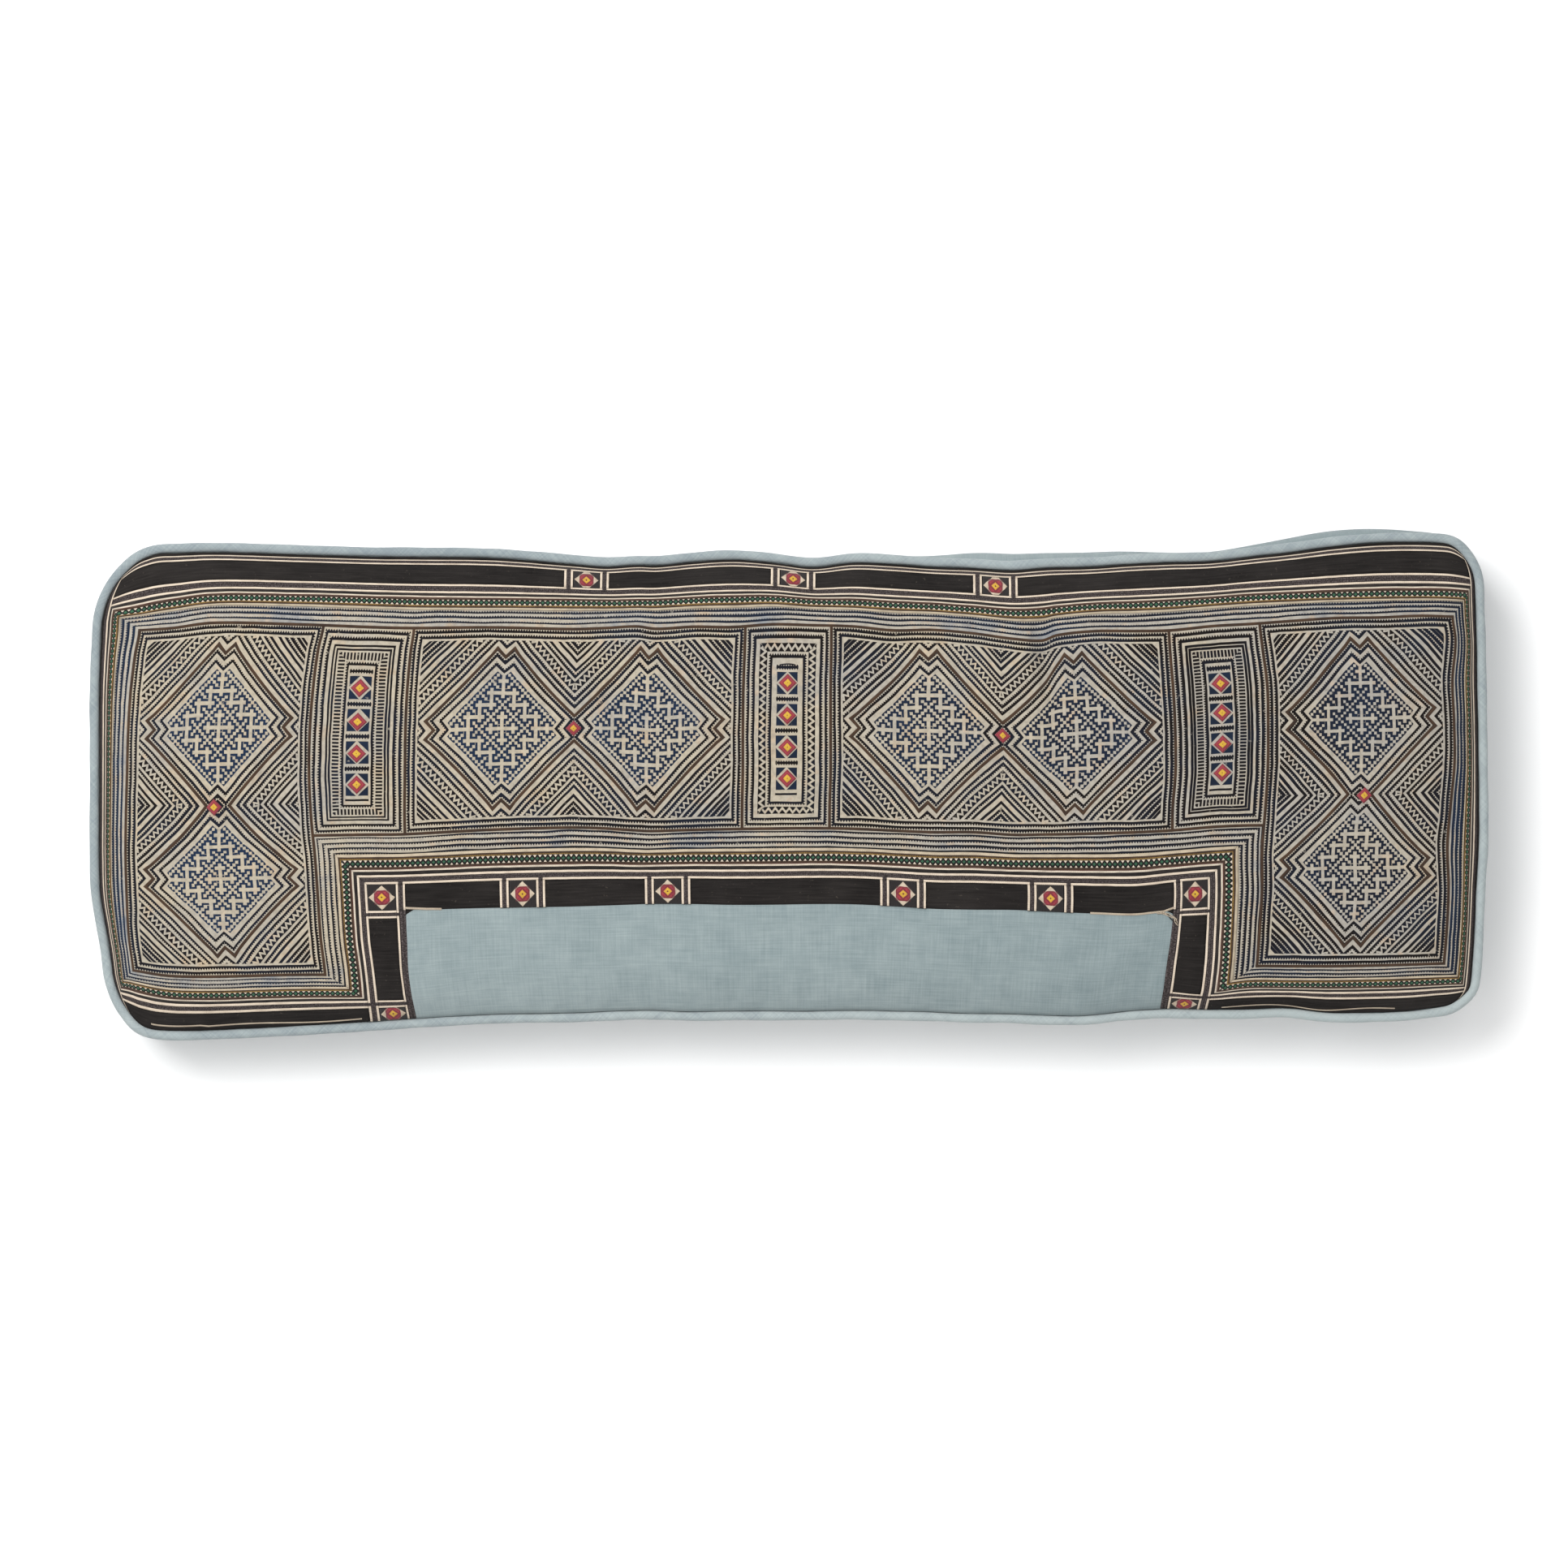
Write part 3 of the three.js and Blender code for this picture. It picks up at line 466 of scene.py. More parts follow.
def finishBatik(m, dark, washAmount, threads=0.62, blueness=0.1, cool=0.0):
    # the undyed hemp, uneven, stained and with some blue that has run
    # painted shade: besides its stains, the ground turns greyer and darker towards the right of the cushion
    patches = m.noise(16.0, 3.0, 0.6) + m.place.parts()[0] * 0.28 + cool
    ground = m.blend(patches.stretch(0.36, 0.66), "cream", "pale")
    ground = m.blend(m.noise(42.0, 3.0, 0.65).stretch(0.56, 0.74) * 0.55, ground, "ochre")
    ground = m.blend(m.noise(27.0, 4.0, 0.65).stretch(0.5, 0.72) * washAmount, ground, "wash")
    ground = m.blend(m.noise(130.0, 2.0, 0.5).stretch(0.6, 0.7) * 0.35, ground, "peach")
    ground = m.blend(m.noise(300.0, 3.0, 0.7).stretch(0.4, 0.75) * 0.4, ground, (108, 98, 90))
    # the dye, near black where it is strong
    mood = m.noise(26.0, 3.0, 0.6).stretch(0.42, 0.66)
    ink = m.blend((mood * 0.3 + blueness).least(1.0), "soot", "navy")
    wear = m.noise(260.0, 2.0, 0.6).stretch(0.12, 0.32)
    height = m.weave(threads) * 0.35 + m.noise(240.0, 3.0, 0.6) * 1.1
    return m.finish(m.blend(dark * wear, ground, ink), height, 0.86, 0.04)


borderRows = {  # rows of teeth: how far in from the braid, half width, how long the teeth are
    "width": 12.6, "outer": ((9.0, 0.3, 0.4), (1.9, 0.25, 0.85), (5.4, 0.35, 0.9)),
    "notch": ((10.8, 0.25, 0.4), (1.6, 0.25, 0.8), (4.7, 0.35, 0.9), (7.8, 0.3, 0.7)),
}


def makeBatikBorder(name, values):
    # the rows between the braid and the brown cord; x and y are plan millimetres
    m = Finish(name, values)
    u, v = m.shaken(30.0, 2.2)
    ends = ((u + 490) * 1.096).least((489.6 - u) * 1.2475)
    levels = (130.2 - v).least((v + 141.1) * 1.34)
    notchSide, notchLevel = (u.size() - 328) * 0.808, (v + 45.0) * 0.808
    notch, outer = notchSide.most(notchLevel), ends.least(levels)
    distance = outer.least(notch)
    byNotch = notch.below(outer)
    along = byNotch.choose(ends.below(levels), notchSide.above(notchLevel)).choose(u, v)
    atEnds = ends.below(levels) * (1.0 - byNotch)
    heavy = m.hand(0.3, 0.32)
    width, pitch = borderRows["width"], values["toothPitch"]

    def rowsOf(where, hand):
        return mostOf(toothedLine(width - distance, along, width - centre, pitch, hand + half, tooth)
                      for centre, half, tooth in borderRows[where])

    rows = byNotch.choose(rowsOf("outer", heavy + atEnds * 0.35 + 0.06), rowsOf("notch", heavy))
    cool = (1.0 - byNotch) * 0.12 + atEnds * 0.25 + 0.1
    return finishBatik(m, plainLine(distance, 12.9, 0.8).most(rows), cool * 0.5 + 0.7, 0.62, cool * 1.1, cool)


pairPattern = {  # in steps of about 0.57 mm, from the middle of the pair and out from a diamond's middle
    "halfLong": 215.0, "halfWide": 123.0, "apart": 92, "notch": 11, "bow": 3.5, "pitch": 4.4,
    "toothed": ((68.5, 1.4, 1.8), (79.5, 1.4, 1.8), (98.4, 1.4, 1.8), (107.4, 1.5, 2.0), (136, 1.3, 1.8),
                (164.8, 1.5, 1.8), (172.5, 2.0, 2.0)),
    "plain": ((144.6, 1.6), (156.3, 1.7), (181.6, 1.9), (187.5, 1.5), (87, 1.6)),
    "cell": 3.6,  # of the meander's grid: bars at a level, from and to, then diagonal rows of dots
    "barsUp": ((0.0, -1, 5.4), (0.0, 10.6, 17.4), (4.0, 6.6, 13.4), (8.0, 7.0, 9.2)),
    "barsOut": ((4.0, -1, 1.5), (16.0, -1, 1.5), (12.0, -1, 5.4), (8.0, 2.6, 8.0)),
    "dotsAcross": (8, 20), "dotsAlong": ((0, 4.0, 2.6), (4, 12.0, 2.6), (12, 16.0, 2.6), (8, 9.5, 0.9)),
    "frame": (9.6, 3.2),
}


def makeBatikDiamonds(name, values):
    # two big diamonds side by side; x runs along the pair and y across it
    m = Finish(name, values)
    g = pairPattern
    along, across = (value.size() for value in m.shaken(36.0, 3.4))
    a, b = (along - g["apart"]).size(), across
    notchA, notchB = a - g["notch"], b - g["notch"]
    lean = (a - b) / (a + b + 0.01)
    ring = notchA.size() + notchB.size() + (1.0 - lean * lean) * g["bow"]
    run = (notchA * notchB).above(0.0).choose(a + b, a - b)
    heavy = m.hand(0.2, 0.31, 0.4)
    dark = mostOf([toothedLine(ring, run, centre, g["pitch"], heavy + half, tooth, 0.5)
                   for centre, half, tooth in g["toothed"]]
                  + [plainLine(ring, centre, heavy + half, 0.5) for centre, half in g["plain"]])
    # two rows of triangles whose points reach past each other
    row = (run / 10.4).fromHalf()
    inner = (ring - 116.2 + row * 15.0).inside(heavy + 7.2, 0.6)
    outer = (129.8 - ring + (0.5 - row) * 15.0).inside(heavy + 7.2, 0.6)
    dark = dark.most(inner.most(outer) * plainLine(ring, 123.0, 7.2, 0.5))
    # the meander inside a diamond, charted on a small grid
    p, q = a.most(b) / g["cell"], a.least(b) / g["cell"]
    total, apart = p + q, p - q
    barHalf = 0.7 - heavy * 0.14

    def bar(value, other, level, low, high):
        return plainLine(value, level, barHalf, 0.16) * plainLine(
            other, (low + high) / 2, barHalf + ((high - low) / 2 - 0.28), 0.16)

    def dotRow(line, run):
        # cells that touch at their corners along a diagonal
        return (line.size() * 0.5 + (0.5 - (run / 2).fromHalf())).inside(barHalf - 0.07, 0.12)

    light = mostOf([bar(q, p, *spot) for spot in g["barsUp"]] + [bar(p, q, *spot) for spot in g["barsOut"]]
                   + [dotRow(total - level, apart) for level in g["dotsAcross"]]
                   + [dotRow(apart - level, total) * plainLine(p, middle, half, 0.2)
                      for level, middle, half in g["dotsAlong"]])
    woven = (a + b).inside(21.6 * g["cell"], 1.0) * ring.inside(62.5, 1.0) * (1.0 - light)
    # two rows of teeth just inside the brown cord of the panel
    endGap, sideGap = g["halfLong"] - along, g["halfWide"] - across
    gap, frameRun = endGap.least(sideGap), endGap.below(sideGap).choose(along, across)
    frameRows = mostOf(toothedLine(15.0 - gap, frameRun, centre, 3.4, heavy * 0.7 + 1.0, 1.9, 0.4)
                       for centre in g["frame"])
    dark = gap.inside(15.5, 0.3).choose(dark.most(woven), frameRows)
    return finishBatik(m, dark, 0.3, 1.1, woven * (0.55 - m.place.parts()[0] * 0.6))


columnPattern = {  # in millimetres from the middle line and up the face
    "halfWide": 33.5, "top": 117.6, "foot": -29.4, "lowest": 6.5, "highest": 75.2, "pitch": 22.9,
    "barLevel": 91.5, "barApart": 2.6,
}


def makeBatikColumn(name, values, comb):
    # a narrow panel: x across it from its middle, y up the face
    m = Finish(name, values)
    g = columnPattern
    u, v = m.shaken(36.0, 1.8)
    heavy = m.hand(0.24, 0.45)
    side, sideGap = u.size(), g["halfWide"] - u.size()
    levelGap = ((g["top"] - v) * 0.89).least((v - g["foot"]) * 1.11)
    gap, run = sideGap.least(levelGap), sideGap.below(levelGap).choose(u, v)

    def toothed(level, half, tooth):
        return toothedLine(24.0 - gap, run, 24.0 - level, values["toothPitch"], heavy + half, tooth)

    rows = [toothed(3.8, 0.5, 1.0), toothed(8.0, 0.55, 1.1)]
    if comb:
        teeth = run.zigzag(2.5).inside(heavy * 0.4 + 0.48, 0.25) * plainLine(gap, 18.2, 2.35, 0.4)
        rows += [plainLine(gap, level, heavy + 0.4) for level in (11.8, 14.1)] + [teeth, toothed(23.3, 0.45, 1.0)]
    else:
        outward = (gap - 11.8 + (run / 5.3).fromHalf() * 7.0).inside(3.4, 0.35)
        inward = (17.6 - gap + (run / 5.3 + 0.5).fromHalf() * 7.0).inside(3.4, 0.35)
        rows += [outward * (11.8 - gap).inside(0.0, 0.3), inward * (gap - 17.6).inside(0.0, 0.3),
                 toothed(20.9, 0.55, 1.1)]
    # four squares with a pale diamond ring, with a row of teeth between them
    middle = plainLine(gap, 60.0, 35.2, 0.3)
    step = (v - g["lowest"]) / g["pitch"]
    nearest = (step + 0.5).math("FLOOR").most(0.0).least(3.0)
    up = (v - (nearest * g["pitch"] + g["lowest"])).size()
    ring = (up + side - 7.4).size().inside(1.15, 0.35) + (up + side).inside(6.3, 0.3)
    squares = up.most(side).inside(8.0, 0.3) * (1.0 - ring.least(1.0))
    between = step - 0.5
    rowGap = ((between + 0.5).math("FLOOR").most(0.0).least(3.0) - between).size() * g["pitch"]
    teeth = (rowGap - u.zigzag(values["toothPitch"]) * 1.2).inside(heavy + 0.35, 0.3)
    inner = [squares, plainLine(rowGap, 0.0, heavy + 0.5).most(teeth) * side.inside(8.6, 0.3),
             plainLine(v, -4.6, 0.75) * side.inside(8.4, 0.3)]
    if comb:
        inner.append(plainLine(v, 91.0, 1.1) * side.inside(6.6, 0.3))
    else:  # three bars that bow
        bowed = v + side * side * 0.02
        bars = plainLine((bowed - g["barLevel"]).size(), g["barApart"], 0.5).most(plainLine(bowed, g["barLevel"], 0.5))
        inner.append(bars * side.inside(6.4, 0.3))
    dark = mostOf(rows) * (1.0 - middle) + mostOf(inner) * middle
    return finishBatik(m, dark.least(1.0), 0.35, 0.62, squares * middle * 0.5)


braidColours = {
    "black": (24, 19, 18), "white": (224, 210, 190), "brown": (66, 45, 30), "gold": (112, 86, 50),
    "cream": (208, 192, 166), "red": (90, 44, 38), "width": 11.8, "lozengePitch": 3.76, "lozengeMiddle": 6.35,
    "depth": 0.0004,
    "bands": ((1.9, 2.9, "white"), (3.0, 3.4, "red"), (3.4, 4.2, "brown"), (8.5, 9.2, "gold"),
              (9.2, 10.1, "brown"), (10.2, 11.8, "cream")),  # from and to, across the braid
}


def makeBraidGround(name, values):
    # x runs along the braid in millimetres, y across it from its outer edge
    m = Finish(name, values)
    across = m.y + (m.noise(45.0) - 0.5) * 0.7
    threads = (m.x * 6.0 + across * 3.0).sine() * 0.5 + 0.5
    soil = m.noise(120.0, 3.0, 0.6).stretch(0.35, 0.75)
    colour = m.blend(soil * 0.6, "black", (66, 58, 54))
    for low, high, shade in values["bands"]:
        worn = m.blend(soil * 0.4, shade, (110, 98, 86))
        colour = m.blend(plainLine(across, (low + high) / 2, (high - low) / 2, 0.2), colour, worn)
    # white points between the lozenges of a dark chain
    off = (across - values["lozengeMiddle"]).size()
    chain = (off / 2.0 + m.x.zigzag(values["lozengePitch"])).inside(1.34, 0.12)
    ribbon = off.inside(2.0, 0.15)
    colour = m.blend(ribbon * chain, m.blend(ribbon, colour, "white"), "black")
    return m.finish(colour, threads * 0.6 + soil * 0.3, 0.75, 0.1)


def makeThread(name, light, deep, pitch=1.1):
    # x runs along the cord in millimetres, y across it
    m = Finish(name, {"depth": 0.0004})
    twist = (m.x * (2 * math.pi / pitch) + m.y * 4.0).sine() * 0.5 + 0.5
    drift = m.noise(70.0, 3.0, 0.6).stretch(0.32, 0.7)
    return m.finish(m.blend(drift * 0.65 + twist * 0.35, deep, light), twist, 0.7, 0.1)


def makeLozengeSilk(name, light, edge):
    # x and y from the middle of a lozenge, 10 at its points
    m = Finish(name, {"depth": 0.0003})
    stitches = (m.x * 1.6 + m.y * 0.5).sine() * 0.5 + 0.5
    drift = m.noise(90.0, 3.0, 0.6).stretch(0.3, 0.7)
    silk = m.blend(drift * 0.6 + stitches * 0.3, light, tuple(c * 0.62 for c in light))
    return m.finish(m.blend((m.x.size() + m.y.size()).inside(6.3, 1.6), edge, silk), stitches, 0.5, 0.1)


motif = {
    "rose": (172, 58, 70), "maroon": (104, 34, 44), "yellow": (230, 184, 60), "cream": (226, 208, 184),
    "black": (34, 28, 27), "depth": 0.0005,
}


def makeSquareStitches(name, values):
    # x and y from the middle of a square, 10 at its edge
    m = Finish(name, values)
    u, v = m.shaken(160.0, 1.2)
    a, b = u.size(), v.size()
    square = a.most(b).inside(5.6, 0.3) * (a + b).inside(8.5, 0.3)
    rim = mostOf([plainLine(a.most(b), 5.0, 0.45, 0.3), plainLine((a + b) * 0.62, 2.7, 0.4, 0.3),
                  plainLine(a - b, 0.0, 0.5, 0.3) * plainLine(a, 4.0, 0.8, 0.3)])
    star = ((a + b) * 0.62).least(a.most(b) + 0.4).inside(1.95, 0.3)
    satin = (u * 8.0).sine() * 0.5 + 0.5
    soil = m.noise(200.0, 3.0, 0.6).stretch(0.35, 0.7)
    colour = m.blend((a + b).inside(9.4, 0.4), "black", m.blend(soil * 0.5, "cream", (150, 128, 104)))
    colour = m.blend(square, colour, m.blend(soil * 0.55, "rose", "maroon"))
    colour = m.blend(rim * 0.7, colour, "maroon")
    colour = m.blend(star, colour, m.blend(soil * 0.4, "yellow", (176, 128, 50)))
    colour = m.blend((a + b).inside(0.8, 0.3), colour, "maroon")
    return m.finish(colour, satin * 0.6 + soil * 0.4 + square * 0.6, 0.62, 0.15)


def makeDiamondStitches(name, values):
    # x and y from the middle of a small diamond, 10 at its points
    m = Finish(name, values)
    a, b = (value.size() for value in m.shaken(180.0, 1.6))
    satin = (m.x * 5.0).sine() * 0.5 + 0.5
    soil = m.noise(220.0, 3.0, 0.6).stretch(0.35, 0.7)
    star = ((a + b) * 0.62).least(a.most(b) + 0.4).inside(2.75, 0.4)
    colour = m.blend(soil * 0.5, "rose", (152, 62, 72))
    colour = m.blend(plainLine(a + b, 8.9, 0.7, 0.5) * 0.6, colour, "maroon")
    colour = m.blend(plainLine((a + b) * 0.62, 3.5, 0.35, 0.4) * 0.5, colour, "maroon")
    colour = m.blend(star, colour, m.blend(soil * 0.4, "yellow", (184, 138, 52)))
    colour = m.blend((a + b).inside(0.7, 0.4) * 0.7, colour, "maroon")
    return m.finish(colour, satin * 0.6 + soil * 0.3 + star * 0.6, 0.6, 0.15)


plain = makePlainCloth("plainCloth", plainCloth)
weltCloth = makePlainCloth("weltCloth", weltWithPaintedLight)
black = makeBlackCloth("blackCloth", blackCloth)
tape = makeTape("greyTape", tapeCloth)
batikLooks = [makeBatikBorder("batikBorder", batikDyes), makeBatikDiamonds("batikDiamonds", batikDyes),
              makeBatikColumn("batikComb", batikDyes, True), makeBatikColumn("batikZigzag", batikDyes, False)]
braidGround = makeBraidGround("braidGround", braidColours)
brownCord = makeThread("brownCord", (88, 62, 40), (46, 31, 22))
whiteThread = makeThread("whiteThread", (222, 206, 182), (176, 158, 138))
goldCord = makeThread("goldCord", (168, 132, 66), (66, 46, 26), 1.7)
greenSilk = makeLozengeSilk("greenSilk", (62, 116, 84), (12, 30, 22))
squareStitches = makeSquareStitches("squareStitches", motif)
diamondStitches = makeDiamondStitches("diamondStitches", motif)
print("materials made")

# ---- seam lines of the plan, the same as in the cut pieces
line = {
    "endLeft": -500.7, "frameLeft": -499.5, "tapeLeft": -497, "braidLeft": -490, "ringLeft": -329.2,
    "hemTapeLeft": -314.5, "legLeft": -307.5, "pocketTapeLeft": -284.8, "pocketLeft": -277.5,
    "pocketRight": 277, "pocketTapeRight": 284, "legRight": 304.5, "hemTapeRight": 312, "ringRight": 327.2,
    "braidRight": 489.6, "tapeRight": 496.8, "frameRight": 499.5, "endRight": 500.7,
    "hem": -168, "footBand": -157.1, "footTape": -150.9, "footBraid": -140.5, "legTop": -91,
    "pocketTop": -85.3, "notchBand": -66, "notchTape": -59.1, "notchBraid": -43.8, "topBraid": 130.2,
    "topTape": 142, "topBand": 148.6, "outerTape": 162.4, "frameTop": 166.1, "seam": 168,
}


def route(text, lines=line):
    # plan points from the names of the two lines that cross at each
    return np.array([[lines[name] for name in point.split(",")] for point in text.split()], float)


def spans(names, *moves):
    # left, right, low and high from the names of lines, and how far each is moved
    return [line[name] + move for name, move in zip(names.split(), moves or (0,) * 4)]


def camel(node):
    first, *rest = node.split("_")
    return first + "".join(word.title() for word in rest)


# ---- the batik cloth
batik = {"lift": 1.5, "step": 2.6, "thick": 1.3, "flat": (0.9796, 0.2707), "bar": 0.174, "legs": (0.1608, 0.0967)}
cords = {"left": -478.5, "l1": -343.7, "l2": -276.7, "l3": -33.5, "l4": 29.7, "l5": 277.8, "l6": 344.5,
         "right": 479.5, "top": 117.6, "low": -29.4, "foot": -131.7}
panels = [  # the cords left of, right of and under it, its material, a column's lowest and highest square
    ("left", "l1", "foot", 1, None), ("l1", "l2", "low", 2, (6, 74.5)), ("l2", "l3", "low", 1, None),
    ("l3", "l4", "low", 3, (6.5, 75.5)), ("l4", "l5", "low", 1, None), ("l5", "l6", "low", 2, (10, 75.5)),
    ("l6", "right", "foot", 1, None),
]


def panelShape(left, right, foot):
    # its middle and its half sizes
    sides = ((cords[left], cords[right]), (cords[foot], cords["top"]))
    return [(low + high) / 2 for low, high in sides] + [(high - low) / 2 for low, high in sides]


def layPattern(panel, u, v):
    # from plan millimetres to the panel's own pattern
    left, right, foot, look, marks = panel
    middleU, middleV, halfU, halfV = panelShape(left, right, foot)
    across, up = (u - middleU) / halfU, (v - middleV) / halfV
    if marks:
        g = columnPattern
        levels = [g["foot"], g["lowest"], g["highest"], g["top"]]
        return across * g["halfWide"], np.interp(v, [g["foot"], *marks, g["top"]], levels)
    if foot == "foot":
        across, up = up, across
    return across * pairPattern["halfLong"], up * pairPattern["halfWide"]


def makeBatik():
    uStops = sorted([line[n] for n in ("braidLeft", "ringLeft", "ringRight", "braidRight")]
                    + [cords[n] for n in ("left", "l1", "l2", "l3", "l4", "l5", "l6", "right")])
    vStops = sorted([line[n] for n in ("footBraid", "notchBraid", "topBraid")]
                    + [cords[n] for n in ("foot", "low", "top")])
    u, v = np.meshgrid(linesThrough(uStops, batik["step"]), linesThrough(vStops, batik["step"]), indexing="ij")
    middleU, middleV = ((a[:-1, :-1] + a[1:, 1:]) / 2 for a in (u, v))
    covered = ~((middleU > line["ringLeft"]) & (middleU < line["ringRight"]) & (middleV < line["notchBraid"]))
    patch = Patch()
    patch.addGrid(u, v, u, v, batik["lift"], keep=covered, skirt=batik["thick"])
    # each panel's cells take its own material and pattern coordinates
    looks, maps = patch.looks[0], patch.maps[0]
    cellU, cellV = middleU[covered], middleV[covered]
    for panel in panels:
        left, right, foot, look, _ = panel
        mine = (cellU > cords[left]) & (cellU < cords[right]) & (cellV > cords[foot]) & (cellV < cords["top"])
        looks[mine] = look
        maps[mine] = np.stack(layPattern(panel, maps[mine][..., 0], maps[mine][..., 1]), axis=-1)
    piece = patch.makePiece("batikCloth", batikLooks, "batik_cloth", "batik_cloth")


makeBatik()
print("batik laid")


# ---- cords laid on the face
def layCord(patch, path, half, height, lift, step=2.5, look=0, closed=False):
    points = [np.array(p, float) for p in path]
    if closed:
        points.append(points[0])
    dense = []
    for start, end in zip(points[:-1], points[1:]):
        count = max(1, int(math.ceil(np.linalg.norm(end - start) / step)))
        dense += [start + (end - start) * k / count for k in range(count)]
    dense = np.array(dense + [points[-1]])
    steps = np.diff(dense, axis=0)
    lengths = np.linalg.norm(steps, axis=1)
    steps /= lengths[:, None]
    into = np.vstack([steps[-1 if closed else 0], steps])
    outOf = np.vstack([steps, steps[0 if closed else -1]])
    run = into + outOf
    run /= np.linalg.norm(run, axis=1)[:, None]
    spread = 1 / np.clip((into * run).sum(axis=1), 0.5, 1)
    section = np.array([(1, -0.25), (0.86, 0.45), (0.4, 0.92), (-0.4, 0.92), (-0.86, 0.45), (-1, -0.25)])
    out = section[None, :, 0] * half
    u = dense[:, :1] - run[:, 1:] * out * spread[:, None]
    v = dense[:, 1:] + run[:, :1] * out * spread[:, None]
    along = np.broadcast_to(np.concatenate([[0], np.cumsum(lengths)])[:, None], u.shape)
    patch.addGrid(u, v, along, np.broadcast_to(out, u.shape), lift, look, skirt=0,
                  height=np.broadcast_to(section[None, :, 1] * height, u.shape))


brownCords = {"half": 1.1, "height": 0.6, "lift": 1.5, "reach": 87.0, "join": 15.0}


def diamondOutline(sideSign):
    # one big diamond's stepped outline, open where it meets the other
    notch, apart, reach = pairPattern["notch"], pairPattern["apart"], brownCords["reach"]
    quarter = [(0.0, reach), (notch, reach + notch), (reach + notch, notch), (reach, 0.0)]
    for k in range(1, 12):
        x, y = notch + reach * k / 12, notch + reach * (1 - k / 12)
        pull = pairPattern["bow"] * (1 - ((x - y) / (x + y)) ** 2) / 2
        quarter.append((x - pull, y - pull))
    ring = {(x * signX, y * signY) for x, y in quarter for signX in (-1, 1) for signY in (-1, 1)}
    kept = [p for p in sorted(ring, key=lambda p: math.atan2(p[1], p[0]))
            if p[0] > -90 and not (p[0] < -70 and abs(p[1]) < 17)]
    path = [(-apart, -brownCords["join"])] + kept + [(-apart, brownCords["join"])]
    return [((x + apart) * sideSign, y) for x, y in path]


def makeBrownCords():
    patch = Patch()
    half, height, lift = (brownCords[key] for key in ("half", "height", "lift"))
    ring = route("left,top right,top right,foot l6,foot l6,low l1,low l1,foot left,foot", cords)
    layCord(patch, ring[::-1], half, height, lift, closed=True)
    for k in range(1, 7):
        layCord(patch, route(f"l{k},low l{k},top", cords), half, height, lift + 0.02)
    for left, right, foot, look, marks in panels:
        if marks:
            continue
        middleU, middleV, halfU, halfV = panelShape(left, right, foot)
        for sideSign in (-1, 1):
            path = [(x / pairPattern["halfLong"], y / pairPattern["halfWide"]) for x, y in diamondOutline(sideSign)]
            if foot == "foot":
                path = [(y, x) for x, y in path]
            layCord(patch, [(middleU + x * halfU, middleV + y * halfV) for x, y in path],
                    half, height, lift + 0.04, step=2.2)
    patch.makePiece("brownCords", [brownCord], "batik_cloth")


makeBrownCords()
print("brown cords laid")

# ---- the braid round the batik
braid = {"lift": 1.9, "step": 2.5, "rise": 0.25, "thick": 1.9, "over": 0.2, "lozengeHalf": 1.85, "lozengeRise": 0.75,
         "cords": ((0.35, 0.55, 0), (0.75, 0.5, 1), (0.82, 0.5, 0))}  # share of the width, half width, look
braidOuter = route("tapeLeft,topTape tapeRight,topTape tapeRight,footTape hemTapeRight,footTape "
                   "hemTapeRight,notchTape hemTapeLeft,notchTape hemTapeLeft,footTape tapeLeft,footTape")
braidInner = route("braidLeft,topBraid braidRight,topBraid braidRight,footBraid ringRight,footBraid "
                   "ringRight,notchBraid ringLeft,notchBraid ringLeft,footBraid braidLeft,footBraid")
middleShare = braidColours["lozengeMiddle"] / braidColours["width"]


def betweenPaths(share):
    # a path that share of the way from the braid's outer edge to its inner one
    return braidOuter + (braidInner - braidOuter) * share


def braidSides():
    # each side's ends on both edges and on the lozenges' line, its length and how many lozenges it takes
    edges = [end for path in (braidOuter, braidInner, betweenPaths(middleShare))
             for end in (path, np.roll(path, -1, axis=0))]
    for o0, o1, i0, i1, start, end in zip(*edges):
        length = np.linalg.norm((o1 + i1 - o0 - i0) / 2)
        yield o0, o1, i0, i1, start, end, length, int(round(length / braidColours["lozengePitch"]))


def makeBraid():
    patch = Patch()
    gone = 0.0
    for o0, o1, i0, i1, start, end, length, count in braidSides():
        s, t = np.meshgrid(evenly(0, 1, braid["step"] / length), np.linspace(0, 1, 9), indexing="ij")
        u, v = onStrip(o0, o1, i0, i1, s, t)
        run = end - start
        share = ((u - start[0]) * run[0] + (v - start[1]) * run[1]) / (run @ run)
        counted = count * braidColours["lozengePitch"]
        grids = [g[:, ::-1] for g in (u, v, gone + share * counted, t * braidColours["width"])]
        patch.addGrid(*grids, braid["lift"], skirt=braid["thick"], height=braid["rise"] * np.sin(t[:, ::-1] * math.pi))
        gone += counted
    patch.makePiece("braid", [braidGround], "braid", "braid")


